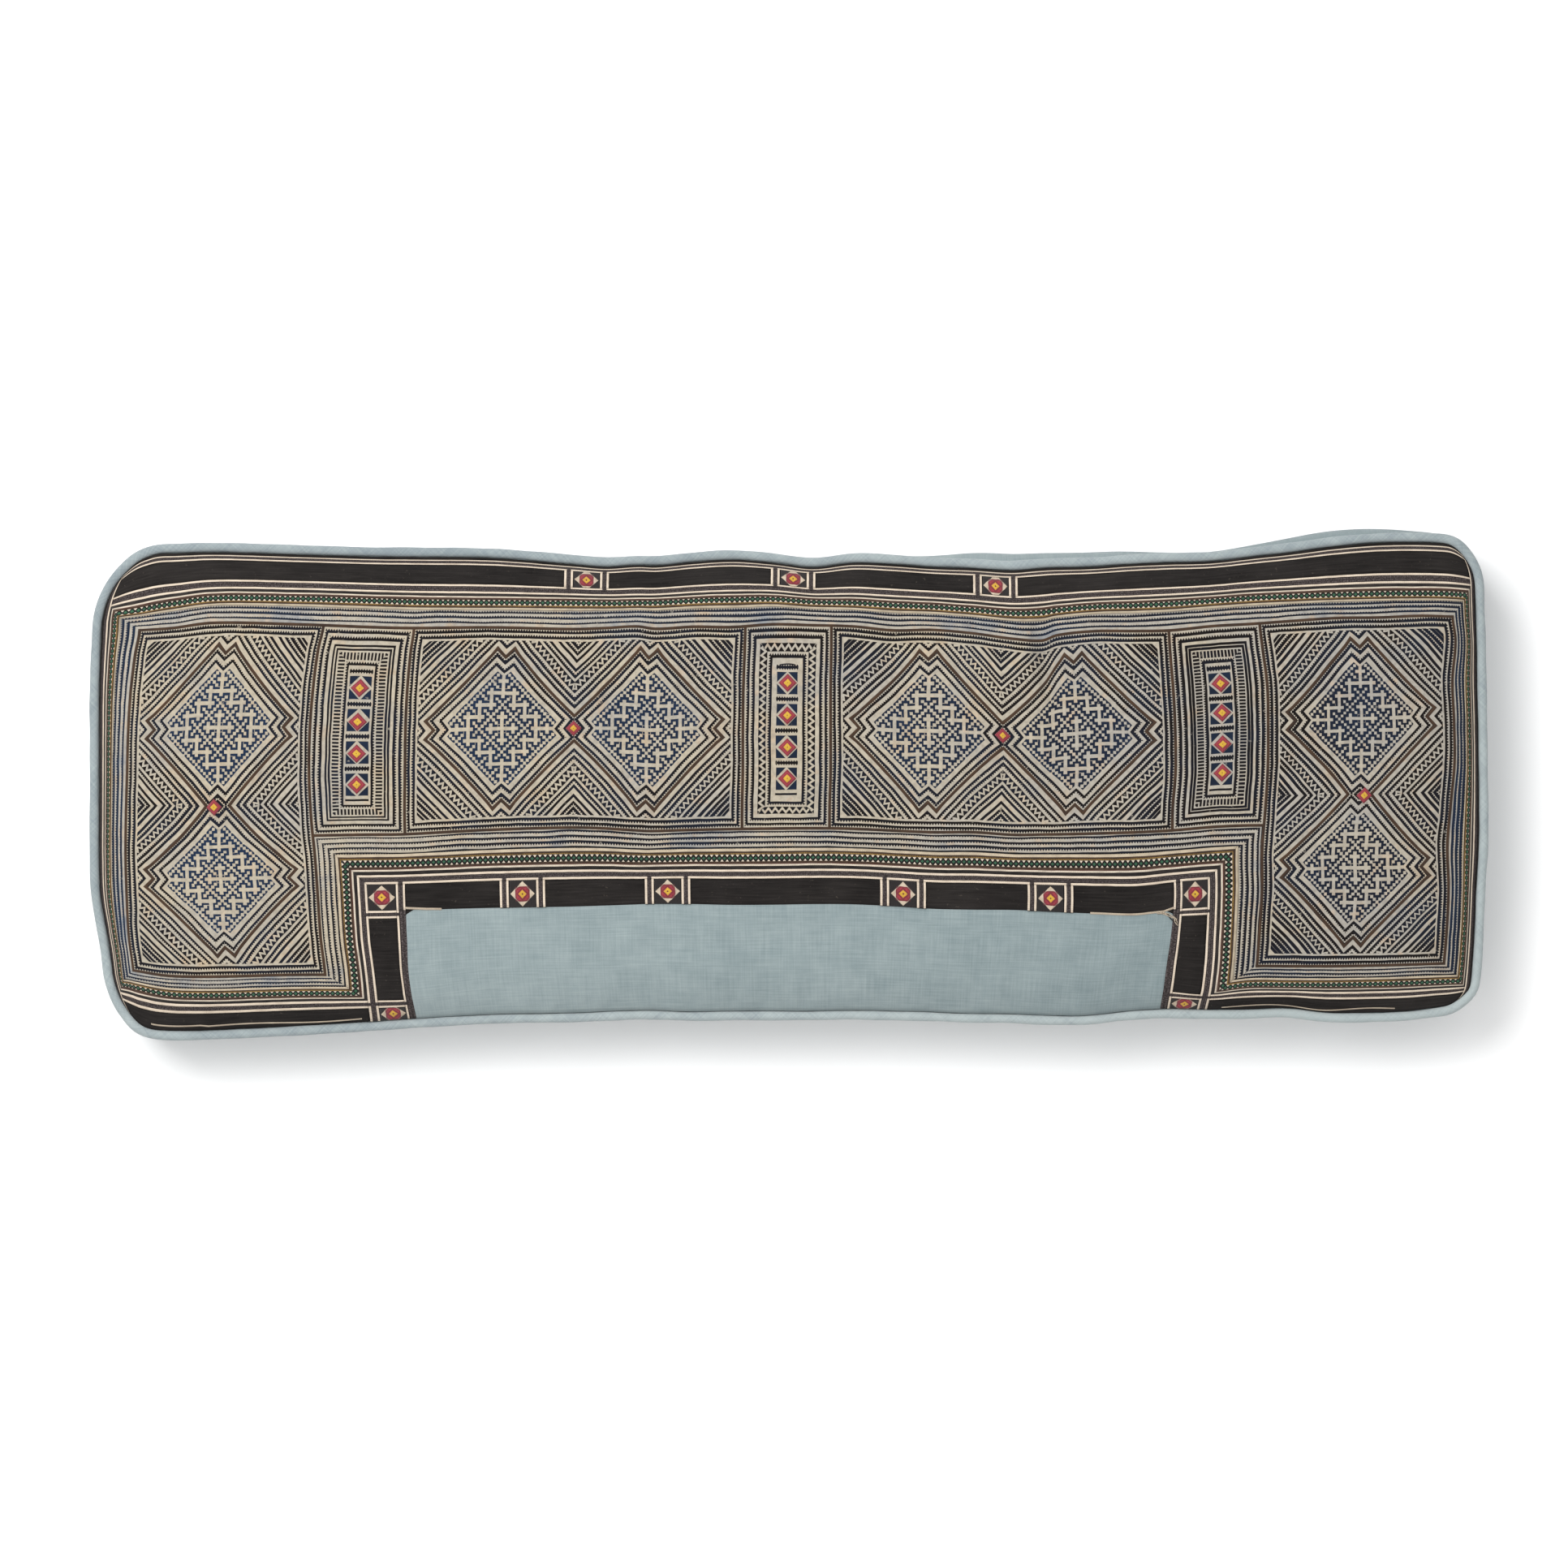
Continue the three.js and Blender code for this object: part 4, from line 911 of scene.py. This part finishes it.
def makeLozenges():
    # a chain of small padded green stitches, all in one grid with gaps between them
    rows = []
    for o0, o1, i0, i1, start, end, length, count in braidSides():
        run = (end - start) / count
        side = np.array([-run[1], run[0]]) / np.linalg.norm(run)
        half = braid["lozengeHalf"] * min(1.0, abs((o0 - i0) @ side) / braidColours["width"] + 0.06)
        rows += [(start + run * (k + 0.5), run / 2 * 0.97, side * half) for k in range(count)]
    middles, runs, sides = (np.array(part)[:, None, None] for part in zip(*rows))
    s, t = np.meshgrid(np.linspace(-1, 1, 4), np.linspace(-1, 1, 4), indexing="ij")
    p, q = (s + t) / 2, (t - s) / 2
    u, v = (middles + runs * p[..., None] + sides * q[..., None]).reshape(-1, 4, 2).transpose(2, 0, 1)
    dome = braid["lozengeRise"] * (1 - np.maximum(np.abs(s), np.abs(t)) ** 2)
    mapU, mapV, height = (np.tile(a, (len(rows), 1)) for a in (p * 10, q * 10, dome))
    keep = np.broadcast_to((np.arange(len(u) - 1) % 4 < 3)[:, None], (len(u) - 1, 3))
    patch = Patch()
    patch.addGrid(u, v, mapU, mapV, braid["lift"] + braid["over"], keep=keep, skirt=0, height=height)
    patch.makePiece("greenLozenges", [greenSilk], "braid")


def makeBraidCords():
    patch = Patch()
    for share, half, look in braid["cords"]:
        layCord(patch, betweenPaths(share)[::-1], half, half, braid["lift"] + braid["over"], look=look, closed=True)
    patch.makePiece("braidCords", [brownCord, goldCord], "braid")


makeBraid()
makeLozenges()
makeBraidCords()
print("braid sewn on")

# ---- the grey tapes with white edges
white = 1.75  # width of a tape's white edge
tapes = {"lift": 1.95, "step": 2.5, "thick": 1.7, "over": 0.46, "tieWidth": 6.6, "tieLift": 2.6, "squareHalf": 9.6}
tapeFrames = [  # a tape that turns corners: its outer and inner edge, and the white edges of each side
    ("frameLeft,hem frameLeft,frameTop frameRight,frameTop frameRight,hem",
     "tapeLeft,hem tapeLeft,outerTape tapeRight,outerTape tapeRight,hem", ((0, 1.0), (0.8, 1.1), (0, 1.0))),
    ("hemTapeLeft,hem hemTapeLeft,notchTape hemTapeRight,notchTape hemTapeRight,hem",
     "legLeft,hem legLeft,notchBand legRight,notchBand legRight,hem", ((white, white),) * 3),
]
tapeStrips = [  # a straight tape: its sides, which way it runs and its two white edges
    ("tapeLeft tapeRight topTape topBand", "u", (1.5, 1.4)),
    ("tapeLeft hemTapeLeft footBand footTape", "u", (white, white)),
    ("hemTapeRight tapeRight footBand footTape", "u", (white, white)),
    ("pocketTapeLeft pocketLeft hem pocketTop", "v", (white, 0)),
    ("pocketRight pocketTapeRight hem pocketTop", "v", (0, white)),
    ("pocketTapeLeft pocketLeft pocketTop notchBand", "v", (white, white)),
    ("pocketRight pocketTapeRight pocketTop notchBand", "v", (white, white)),
    ("legLeft pocketTapeLeft legTop pocketTop", "u", (1.6, 1.6)),
    ("legLeft pocketTapeLeft footBand footTape", "u", (1.6, 1.6)),
    ("pocketTapeRight legRight legTop pocketTop", "u", (1.6, 1.6)),
    ("pocketTapeRight legRight footBand footTape", "u", (1.6, 1.6)),
]


def acrossTape(width, lowWhite, highWhite):
    # points across a tape in millimetres, and how far through its weave each one is
    stops = [0.0] * (lowWhite > 0) + [lowWhite, width - highWhite] + [width] * (highWhite > 0)
    marks = [0.0] * (lowWhite > 0) + [0.26 if lowWhite else 0.32, 0.74 if highWhite else 0.68] + [1.0] * (highWhite > 0)
    points = linesThrough(stops, 0.9)
    return points, np.interp(points, stops, marks)


def addTape(patch, u, v, along, share, lift):
    off = np.abs(share - 0.5) * 2
    ridge = 0.4 * np.clip((off - 0.46) / 0.12, 0, 1) * np.clip((1.04 - off) / 0.12, 0, 1)
    patch.addGrid(u, v, along, share, lift, skirt=tapes["thick"], height=ridge)


def addStrip(patch, sides, way, lift, whites):
    left, right, low, high = sides
    if way == "u":
        points, share = acrossTape(high - low, *whites)
        u, v = np.meshgrid(evenly(left, right, tapes["step"]), low + points, indexing="ij")
        addTape(patch, u, v, u, np.broadcast_to(share, u.shape), lift)
    else:
        points, share = acrossTape(right - left, *whites)
        u, v = np.meshgrid(left + points, evenly(low, high, tapes["step"]), indexing="ij")
        addTape(patch, u, v, v, np.broadcast_to(share[:, None], u.shape), lift)


def addFrame(patch, outer, inner, whites):
    # one tape turned at mitred corners
    length = 0.0
    for o0, o1, i0, i1, edges in zip(outer[:-1], outer[1:], inner[:-1], inner[1:], whites):
        reach = np.linalg.norm(o1 - o0)
        run = (o1 - o0) / reach
        width = abs(run[0] * (i0 - o0)[1] - run[1] * (i0 - o0)[0])
        points, share = acrossTape(width, *edges)
        s, t = np.meshgrid(evenly(0, 1, tapes["step"] / reach), points / width, indexing="ij")
        u, v = onStrip(o0, o1, i0, i1, s, t)
        grids = [u, v, length + s * reach, np.broadcast_to(share, u.shape)]
        if (u[1, 0] - u[0, 0]) * (v[0, 1] - v[0, 0]) < (v[1, 0] - v[0, 0]) * (u[0, 1] - u[0, 0]):
            grids = [g[:, ::-1] for g in grids]
        addTape(patch, *grids, tapes["lift"])
        length += reach


def makeTapes():
    patch = Patch()
    for outer, inner, whites in tapeFrames:
        addFrame(patch, route(outer), route(inner), whites)
    for names, way, whites in tapeStrips:
        addStrip(patch, spans(names), way, tapes["lift"], whites)
    # where two tapes meet, the grey runs on through the white edge
    over, bare = tapes["lift"] + tapes["over"], (0, 0)
    for edge, start, end in (("legLeft", -2, 0.4), ("pocketTapeLeft", -0.4, 2),
                             ("pocketTapeRight", -2, 0.4), ("legRight", -0.4, 2)):
        for levels in ("legTop pocketTop", "footBand footTape"):
            addStrip(patch, spans(f"{edge} {edge} {levels}", start, end, 1.7, -1.7), "u", over, bare)
    for edge, start, end in (("hemTapeLeft", -0.4, 2), ("hemTapeRight", -2, 0.4)):
        addStrip(patch, spans(f"{edge} {edge} footBand footTape", start, end, 1.8, -1.8), "u", over, bare)
    for edges in ("pocketTapeLeft pocketLeft", "pocketRight pocketTapeRight"):
        addStrip(patch, spans(edges + " notchBand notchBand", 1.8, -1.8, -0.4, 2), "v", over, bare)
    patch.makePiece("tapeBorder", [tape], "tape", "tape_border")


bandSquares = {  # the lines beside it, the squares' middles, the first one's number, where ties cross white edges
    "top": ("topBand outerTape", (-150.8, 1.4, 150.8), 1, (("topBand", -2, 0.4), ("outerTape", -0.4, 1.3))),
    "notch": ("pocketTop notchBand", (-192.6, -87.6, 82.2, 188.2), 2, (("notchBand", -0.4, 2),)),
}


def makeTies():
    half = tapes["tieWidth"] / 2
    for band, (beside, middles, _, crossings) in bandSquares.items():
        low, high = (line[name] for name in beside.split())
        sides = [middle + way * (tapes["squareHalf"] + 0.3 + half) for middle in middles for way in (-1, 1)]
        for k, centre in enumerate(sides):
            patch = Patch()
            addStrip(patch, (centre - half, centre + half, low, high), "v", tapes["tieLift"], (white, white))
            for edge, start, end in crossings:
                addStrip(patch, (centre - 1.5, centre + 1.5, line[edge] + start, line[edge] + end), "v",
                         tapes["tieLift"] + 0.1, (0, 0))
            patch.makePiece(f"tie{band.title()}{k + 1}", [tape], "tape", f"tie_{band}_{k + 1}")


def addRectangle(patch, sides, step, lift, skirt=1.2):
    u, v = gridOver(*sides, step)
    patch.addGrid(u, v, u, v, lift, skirt=skirt)


def makeSeamEdge():
    # the black cloth that shows between the outer tape and the welt
    patch = Patch()
    for names in ("endLeft endRight frameTop seam", "endLeft frameLeft hem frameTop",
                  "frameRight endRight hem frameTop"):
        addRectangle(patch, spans(names), 2.5, 1.5)
    patch.makePiece("seamEdge", [black], "black_cloth")


makeTapes()
makeSeamEdge()
makeTies()
print("tapes laid")

# ---- black cloth
blackBands = {
    "top_band": "tapeLeft tapeRight topBand outerTape", "notch_band": "pocketLeft pocketRight pocketTop notchBand",
    "foot_band_left": "tapeLeft hemTapeLeft hem footBand", "foot_band_right": "hemTapeRight tapeRight hem footBand",
    "leg_left": "legLeft pocketTapeLeft footTape legTop", "leg_right": "pocketTapeRight legRight footTape legTop",
}
for node, names in blackBands.items():
    patch = Patch()
    left, right, low, high = spans(names)
    addRectangle(patch, (left, right, low, high), 2.5, 1.5)
    band = patch.makePiece(camel(node), [black], "black_cloth", node)
    (right - left) / 1000
    (high - low) / 1000


hemLines = {
    "level": -165.4, "half": 0.5, "lift": 1.6, "raised": (-430, 0.9),  # left of where it lies higher, and by how much
    "runs": ((range(-470, -314, 6), 0.7, 17), (range(322, 452, 5), 1.1, 13)),  # its stations, sway and waves
}


def makeHemLines():
    # a thin white line that wanders along the foot of each black band
    patch = Patch()
    bend, higher = hemLines["raised"]
    for stations, sway, wave in hemLines["runs"]:
        path = [(u, hemLines["level"] + sway * math.sin(u / wave) + higher * (u < bend)) for u in stations]
        layCord(patch, path[::-1], hemLines["half"], hemLines["half"], hemLines["lift"])
    patch.makePiece("hemLines", [whiteThread], "tape")


makeHemLines()

# ---- the plain cloth in the notch
infill = {
    "turned": 9.0, "curl": (0.92, 2.4), "sides": 14, "bulge": ((-168, -150, -120, -96, -86), (0.6, 1.2, 1.0, 1.6, 0.0)),
    "step": 3.0, "lift": 1.6, "pillow": 0.9, "edge": 5, "pucker": {"height": 0.5, "wave": 2.3, "depth": 7, "reach": 40},
}
pocketCords = [  # its line, from the seam lines beside it, and its half width
    ((("pocketLeft", 26, 0.1), ("pocketLeft", 15, 0.5), ("pocketLeft", -1, 1.6)), 0.85),
    ((("pocketRight", 1, 1.4), ("pocketRight", -7, -0.4), ("pocketRight", -18, 0.2), ("pocketRight", -60, 0.2)), 0.8),
]


def makeInfill():
    # its upper corners are turned in and its sides bulge over the tape
    left, right, low, high = spans("pocketLeft pocketRight hem pocketTop", -0.8, 0.6, 0, 0)
    u, v = gridOver(left, right, low, high, infill["step"])
    reach, (curl, power), sides = infill["turned"], infill["curl"], infill["sides"]
    level = np.clip((v - (high - reach)) / reach, 0, 1)
    pushed = reach * (1 - np.sqrt(1 - curl * level ** power)) - np.interp(v, *infill["bulge"])
    share = (u - left) / (right - left) * sides
    u = u + pushed * np.clip(1 - share, 0, 1) - pushed * np.clip(share - (sides - 1), 0, 1)
    p = infill["pucker"]
    pucker = p["height"] * np.sin(u / p["wave"]) * np.exp(-((high - v) / p["depth"]) ** 2) * (u < left + p["reach"])
    edge = np.minimum(np.minimum(u - left, right - u), high - v)
    height = infill["pillow"] * np.clip(edge / infill["edge"], 0, 1) ** 0.5 + pucker / 2
    patch = Patch()
    patch.addGrid(u, v, u, v, infill["lift"], height=height)
    piece = patch.makePiece("infillPanel", [plain], "plain_cloth", "infill_panel")
    (right - left) / 1000
    (high - low) / 1000
    # black cloth and its white edge, which show past the corners
    under = Patch()
    for names, start, end in (("pocketLeft pocketLeft", 0, 14), ("pocketRight pocketRight", -14, 0)):
        addRectangle(under, spans(names + " pocketTop pocketTop", start, end, -14, 0), 2.0, 1.2, skirt=0.8)
    for path, half in pocketCords:
        layCord(under, [(line[name] + off, high + up) for name, off, up in path], half, 0.5, 1.75, look=1)
    under.makePiece("pocketEdge", [black, whiteThread], "black_cloth")


makeInfill()
looseEnds = [  # frayed threads at the right corner of the notch: x, y, which way, length, how it bends
    (267, -86.2, -30, 13, 1.5), (269, -85.2, -35, 14, -1.2), (271, -87.0, -42, 11, 1.2), (273, -88.0, -50, 9, -1.0),
    (276, -90.0, -52, 8, 1.0), (278, -92.0, -60, 7, -0.8), (265, -86.6, -22, 9, 0.8),
]


def makeLooseThreads():
    patch = Patch()
    for k, (x, y, way, length, bend) in enumerate(looseEnds):
        right, up = math.cos(math.radians(way)), math.sin(math.radians(way))
        spots = [(n / 6 * length, bend * math.sin(n / 6 * math.pi)) for n in range(7)]
        path = [(x + right * gone - up * off, y + up * gone + right * off) for gone, off in spots]
        layCord(patch, path, 0.34, 0.5, 2.75 + 0.12 * (k % 3), step=1.5, look=1 if k % 4 == 3 else 0)
    patch.makePiece("looseThreads", [whiteThread, black], "tape")


makeLooseThreads()
print("bands and infill laid")


# ---- embroidered squares and diamonds
def stitchedSquare(node, left, right, low, high, lift):
    s, t = np.meshgrid(np.linspace(-1, 1, 25), np.linspace(-1, 1, 25), indexing="ij")
    u = (left + right) / 2 + s * ((right - left) / 2 - 0.2)
    v = (low + high) / 2 + t * ((high - low) / 2 - 0.2)
    squat = (high - low) / 19.2 if high - low < 15 else 1  # a low square shows less of its motif
    mapU, mapV = s * 10, t * 10 * squat
    reach, block = np.abs(mapU) + np.abs(mapV), np.maximum(np.abs(mapU), np.abs(mapV))
    patch = Patch()
    patch.addGrid(u, v, mapU, mapV, lift,
                  height=0.5 * (reach < 9.4) + 0.6 * np.clip(5.4 - block, 0, 1) + 0.3 * (block < 2.2))
    patch.makePiece(camel(node.replace("patch", "square")), [squareStitches], "embroidery", node)


cornerSquares = {
    "patch_notch_1": "legLeft pocketTapeLeft pocketTop notchBand",
    "patch_notch_6": "pocketTapeRight legRight pocketTop notchBand",
    "patch_foot_left": "legLeft pocketTapeLeft hem footBand",
    "patch_foot_right": "pocketTapeRight legRight hem footBand",
}
for node, names in cornerSquares.items():
    stitchedSquare(node, *spans(names), 1.8)
for band, (beside, middles, first, _) in bandSquares.items():
    for k, middle in enumerate(middles):
        stitchedSquare(f"patch_{band}_{k + first}", middle - tapes["squareHalf"], middle + tapes["squareHalf"],
                       *(line[name] for name in beside.split()), 2.4)

smallDiamonds = {"half": 6.6, "crossingHalf": 5.8, "lift": 1.9}
crossings = {"diamond_block_left": (-414, -8), "diamond_block_right": (415.5, -8),
             "diamond_panel_1": (-155.5, 44.1), "diamond_panel_2": (153.6, 44.1)}
columns = {-310.5: (74.5, 50.5, 28, 6), -1.5: (75.5, 52, 29, 6.5), 311.5: (75.5, 54, 31, 10)}


def stitchedDiamond(node, x, y, half):
    s, t = np.meshgrid(np.linspace(-1, 1, 13), np.linspace(-1, 1, 13), indexing="ij")
    p, q = (s + t) / 2, (t - s) / 2
    edge = 1 - np.maximum(np.abs(s), np.abs(t))
    height = 0.8 * np.clip(edge * 3.5, 0, 1) + 0.5 * np.clip((0.42 - np.maximum(np.abs(p), np.abs(q))) * 5, 0, 1)
    patch = Patch()
    patch.addGrid(x + p * half, y + q * half, p * 10, q * 10, smallDiamonds["lift"], skirt=0.9, height=height)
    patch.makePiece(camel(node), [diamondStitches], "embroidery", node)


for node, (x, y) in crossings.items():
    stitchedDiamond(node, x, y, smallDiamonds["crossingHalf"])
for column, (x, heights) in enumerate(columns.items()):
    for k, y in enumerate(heights):
        stitchedDiamond(f"diamond_column_{column + 1}_{k + 1}", x, y, smallDiamonds["half"])
print("embroidery sewn")


# ---- the cushion and its welts
def faceEdge(step):
    # round the seam anticlockwise, with the way out at each point
    length, width = face["halfLength"], face["halfWidth"]
    corners = np.array([(-length, -width), (length, -width), (length, width), (-length, width), (-length, -width)])
    plan = np.array([(u, v) for start, end in zip(corners[:-1], corners[1:])
                     for u, v in np.linspace(start, end, len(evenly(0, np.abs(end - start).sum(), step)))[:-1]])
    x, y, z = facePoint(plan[:, 0], plan[:, 1])
    # even steps along the seam, slightly smoothed at the corners
    closed = np.stack([np.append(x, x[0]), np.append(y, y[0])], axis=1)
    gone = np.concatenate([[0], np.cumsum(np.linalg.norm(np.diff(closed, axis=0), axis=1))])
    even = np.linspace(0, gone[-1], int(gone[-1] / step), endpoint=False)
    points = np.stack([np.interp(even, gone, closed[:, k]) for k in (0, 1)], axis=1)
    for _ in range(3):
        points = (np.roll(points, 1, axis=0) + 2 * points + np.roll(points, -1, axis=0)) / 4
    run = np.roll(points, -1, axis=0) - np.roll(points, 1, axis=0)
    out = np.stack([run[:, 1], -run[:, 0]], axis=1)
    return points, out / np.linalg.norm(out, axis=1)[:, None], even


def outFrom(edge, out, reach, height):
    # a ring round the cushion, so far out from its seam
    reach = np.broadcast_to(reach, len(edge))
    return metres(edge[:, 0] + out[:, 0] * reach, edge[:, 1] + out[:, 1] * reach, np.broadcast_to(height, len(edge)))


cushion = {
    "ringStep": 4.0, "faceStep": 7, "inset": 1.2, "under": 0.5, "backHeight": 0.0002,
    "backRings": (0.96, 0.88, 0.72, 0.5, 0.25, 0.02),
    # where the boxing bulges: x, which side, how far along, how much
    "bulges": [(385, 1, 70, 6.4), (225, 1, 45, 4.2), (150, 1, 48, 7.6), (-190, -1, 40, 2.4), (-380, -1, 60, 1.5)],
    # puckers beside the two seams: rise, wave, drift and its wave, the seam's height, how far they reach
    "puckers": ((0.5, 3.1, 2.2, 47, 75, 9), (0.4, 3.4, 1.9, 39, 8, 8)),
    "roll": {"rise": 0.8, "along": 31, "up": 22, "from": 6, "height": 68},
    "profile": [  # out, height, how much of the bulge
        (-0.8, 75.6, 0), (0.1, 74.3, 0), (1.3, 72.6, 0.15), (2.4, 70, 0.3), (3.7, 65, 0.6), (4.8, 59, 0.9),
        (5.4, 50, 1), (5.6, 42, 1), (5.3, 33, 0.95), (4.6, 24, 0.8), (3.5, 17, 0.5), (2.2, 12, 0.3),
        (0.8, 9.4, 0.1), (0, 8.2, 0), (-0.4, 4.2, 0), (-4, 1.4, 0), (-9, 0.4, 0), (-13, 0.2, 0)],
}


def makeCushion():
    edge, out, length = faceEdge(cushion["ringStep"])
    n = len(edge)
    extra = sum(np.where(edge[:, 1] * side > 0, amount * np.exp(-((edge[:, 0] - x) / reach) ** 2), 0)
                for x, side, reach, amount in cushion["bulges"])
    profile = np.array(cushion["profile"], float)
    fallen = np.concatenate([[0], np.cumsum(np.linalg.norm(np.diff(profile[:, :2], axis=0), axis=1))])
    rings, maps, roll = [], [], cushion["roll"]
    for (reach, height, share), down in zip(profile, fallen):
        pucker = sum(rise * np.sin(length / wave + drift * np.sin(length / slower))
                     * math.exp(-abs(height - seam) / fade)
                     for rise, wave, drift, slower, seam, fade in cushion["puckers"])
        level = min(max((height - roll["from"]) / roll["height"], 0), 1)
        slow = roll["rise"] * np.sin(length / roll["along"] + height / roll["up"]) * math.sin(level * math.pi)
        rings.append(outFrom(edge, out, reach + share * extra + pucker + slow, height))
        maps.append(np.stack([length, np.full(n, -down)], axis=1))
    # the back: rings that close in on the middle
    outermost, sideRings = rings[-1], len(rings)
    for share in cushion["backRings"]:
        ring = outermost.mean(axis=0) + (outermost - outermost.mean(axis=0)) * share
        ring[:, 2] = cushion["backHeight"] * share
        rings.append(ring)
    # the face under its cloths, a fine grid inside the first ring
    halfLength, halfWidth, inset = face["halfLength"], face["halfWidth"], cushion["inset"]
    u, v = gridOver(-halfLength, halfLength, -halfWidth, halfWidth, cushion["faceStep"])
    x, y, z = facePoint(u, v)
    top = metres(x * (1 - inset / 500), y * (1 - inset / 168), z - cushion["under"])
    index = np.arange(u.size).reshape(u.shape)
    faces = [np.stack([index[:-1, :-1], index[1:, :-1], index[1:, 1:], index[:-1, 1:]], axis=-1).reshape(-1, 4)]
    flat = [np.stack([u.ravel(), v.ravel()], axis=1)[faces[0]]]
    for k in range(len(rings) - 1):
        upper = len(top) + k * n + np.arange(n)
        lower = upper + n
        faces.append(np.stack([lower, np.roll(lower, -1), np.roll(upper, -1), upper], axis=1))
        if k < sideRings - 1:
            step = np.array([length[1], 0])
            flat.append(np.stack([maps[k + 1], maps[k + 1] + step, maps[k] + step, maps[k]], axis=1))
        else:
            high, low = rings[k][:, :2] * 1000, rings[k + 1][:, :2] * 1000
            flat.append(np.stack([low, np.roll(low, -1, axis=0), np.roll(high, -1, axis=0), high], axis=1))
    piece = meshPiece("cushion", np.vstack([top] + rings), np.vstack(faces), np.vstack(flat), None, [plain])
    dress(piece, "plain_cloth", "cushion_body")


welts = {
    "radius": 3.35, "out": 3.65, "heights": {"welt_front": 76.4, "welt_back": 4.4}, "sides": 16, "step": 3.0,
    "lumps": (0.035, 6.1, 29), "swell": (0.03, 17),  # how much its radius varies, and over what length
}


def makeWelt(node, height):
    edge, out, length = faceEdge(welts["step"])
    turns = (np.arange(welts["sides"]) + 0.5) / welts["sides"] * 2 * math.pi
    (lump, wave, slower), (swell, slow) = welts["lumps"], welts["swell"]
    radius = welts["radius"] * (
        1 + lump * np.sin(length / wave + np.sin(length / slower)) + swell * np.sin(length / slow))
    points = np.stack([outFrom(edge, out, welts["out"] + radius * math.cos(turn), height + radius * math.sin(turn))
                       for turn in turns], axis=1).reshape(-1, 3)
    a = np.arange(len(points)).reshape(len(edge), len(turns))
    b = np.roll(a, -1, axis=0)
    faces = np.stack([a, b, np.roll(b, -1, axis=1), np.roll(a, -1, axis=1)], axis=-1).reshape(-1, 4)
    along, around = np.meshgrid(length, turns * welts["radius"], indexing="ij")
    alongNext, aroundNext = along + length[1], around + 2 * math.pi / welts["sides"] * welts["radius"]
    # the cord's cloth is cut on the bias
    maps = np.stack([np.stack([(x + y) * 0.7071, (y - x) * 0.7071], axis=-1)
                     for x, y in ((along, around), (alongNext, around), (alongNext, aroundNext), (along, aroundNext))],
                    axis=2)
    dress(meshPiece(camel(node), points, faces, maps, None, [weltCloth]), "plain_cloth", node)


makeCushion()
for node, height in welts["heights"].items():
    makeWelt(node, height)
print("cushion and welts made")

# ---- floor and light
studio = {
    "floor": (0.95, 0.95, 0.95, 1), "floorSize": 14, "floorHeight": -0.0004, "world": 0.74,
    "lamps": {"keyLight": (104.0, 1.9, (-1.12, 1.18, 2.88)), "fillLight": (14.0, 2.5, (0.4, -0.6, 3.2))},
}
bpy.ops.mesh.primitive_plane_add(size=studio["floorSize"], location=(0, 0, studio["floorHeight"]))
floor = bpy.context.active_object
floor.name = "floor"
floorMaterial = bpy.data.materials.new("floorPaper")
floorMaterial.use_nodes = True
paper = floorMaterial.node_tree.nodes["Principled BSDF"].inputs
paper["Base Color"].default_value = studio["floor"]
paper["Roughness"].default_value = 0.9
floor.data.materials.append(floorMaterial)
scene.world = scene.world or bpy.data.worlds.new("studio")
scene.world.use_nodes = True
background = scene.world.node_tree.nodes["Background"].inputs
background[0].default_value = (1, 1, 1, 1)
background[1].default_value = studio["world"]


def softBox(name, power, size, place):
    # a square lamp that looks at the middle of the cushion
    data = bpy.data.lights.new(name, "AREA")
    data.energy, data.shape, data.size, data.size_y = power, "RECTANGLE", size, size
    lamp = bpy.data.objects.new(name, data)
    lamp.location = place
    x, y, z = place
    lamp.rotation_euler = (math.atan2(math.hypot(x, y), z), 0, math.atan2(-y, -x) - math.pi / 2)
    scene.collection.objects.link(lamp)


for name, values in studio["lamps"].items():
    softBox(name, *values)
scene.view_settings.view_transform = "Standard"

print("light set")
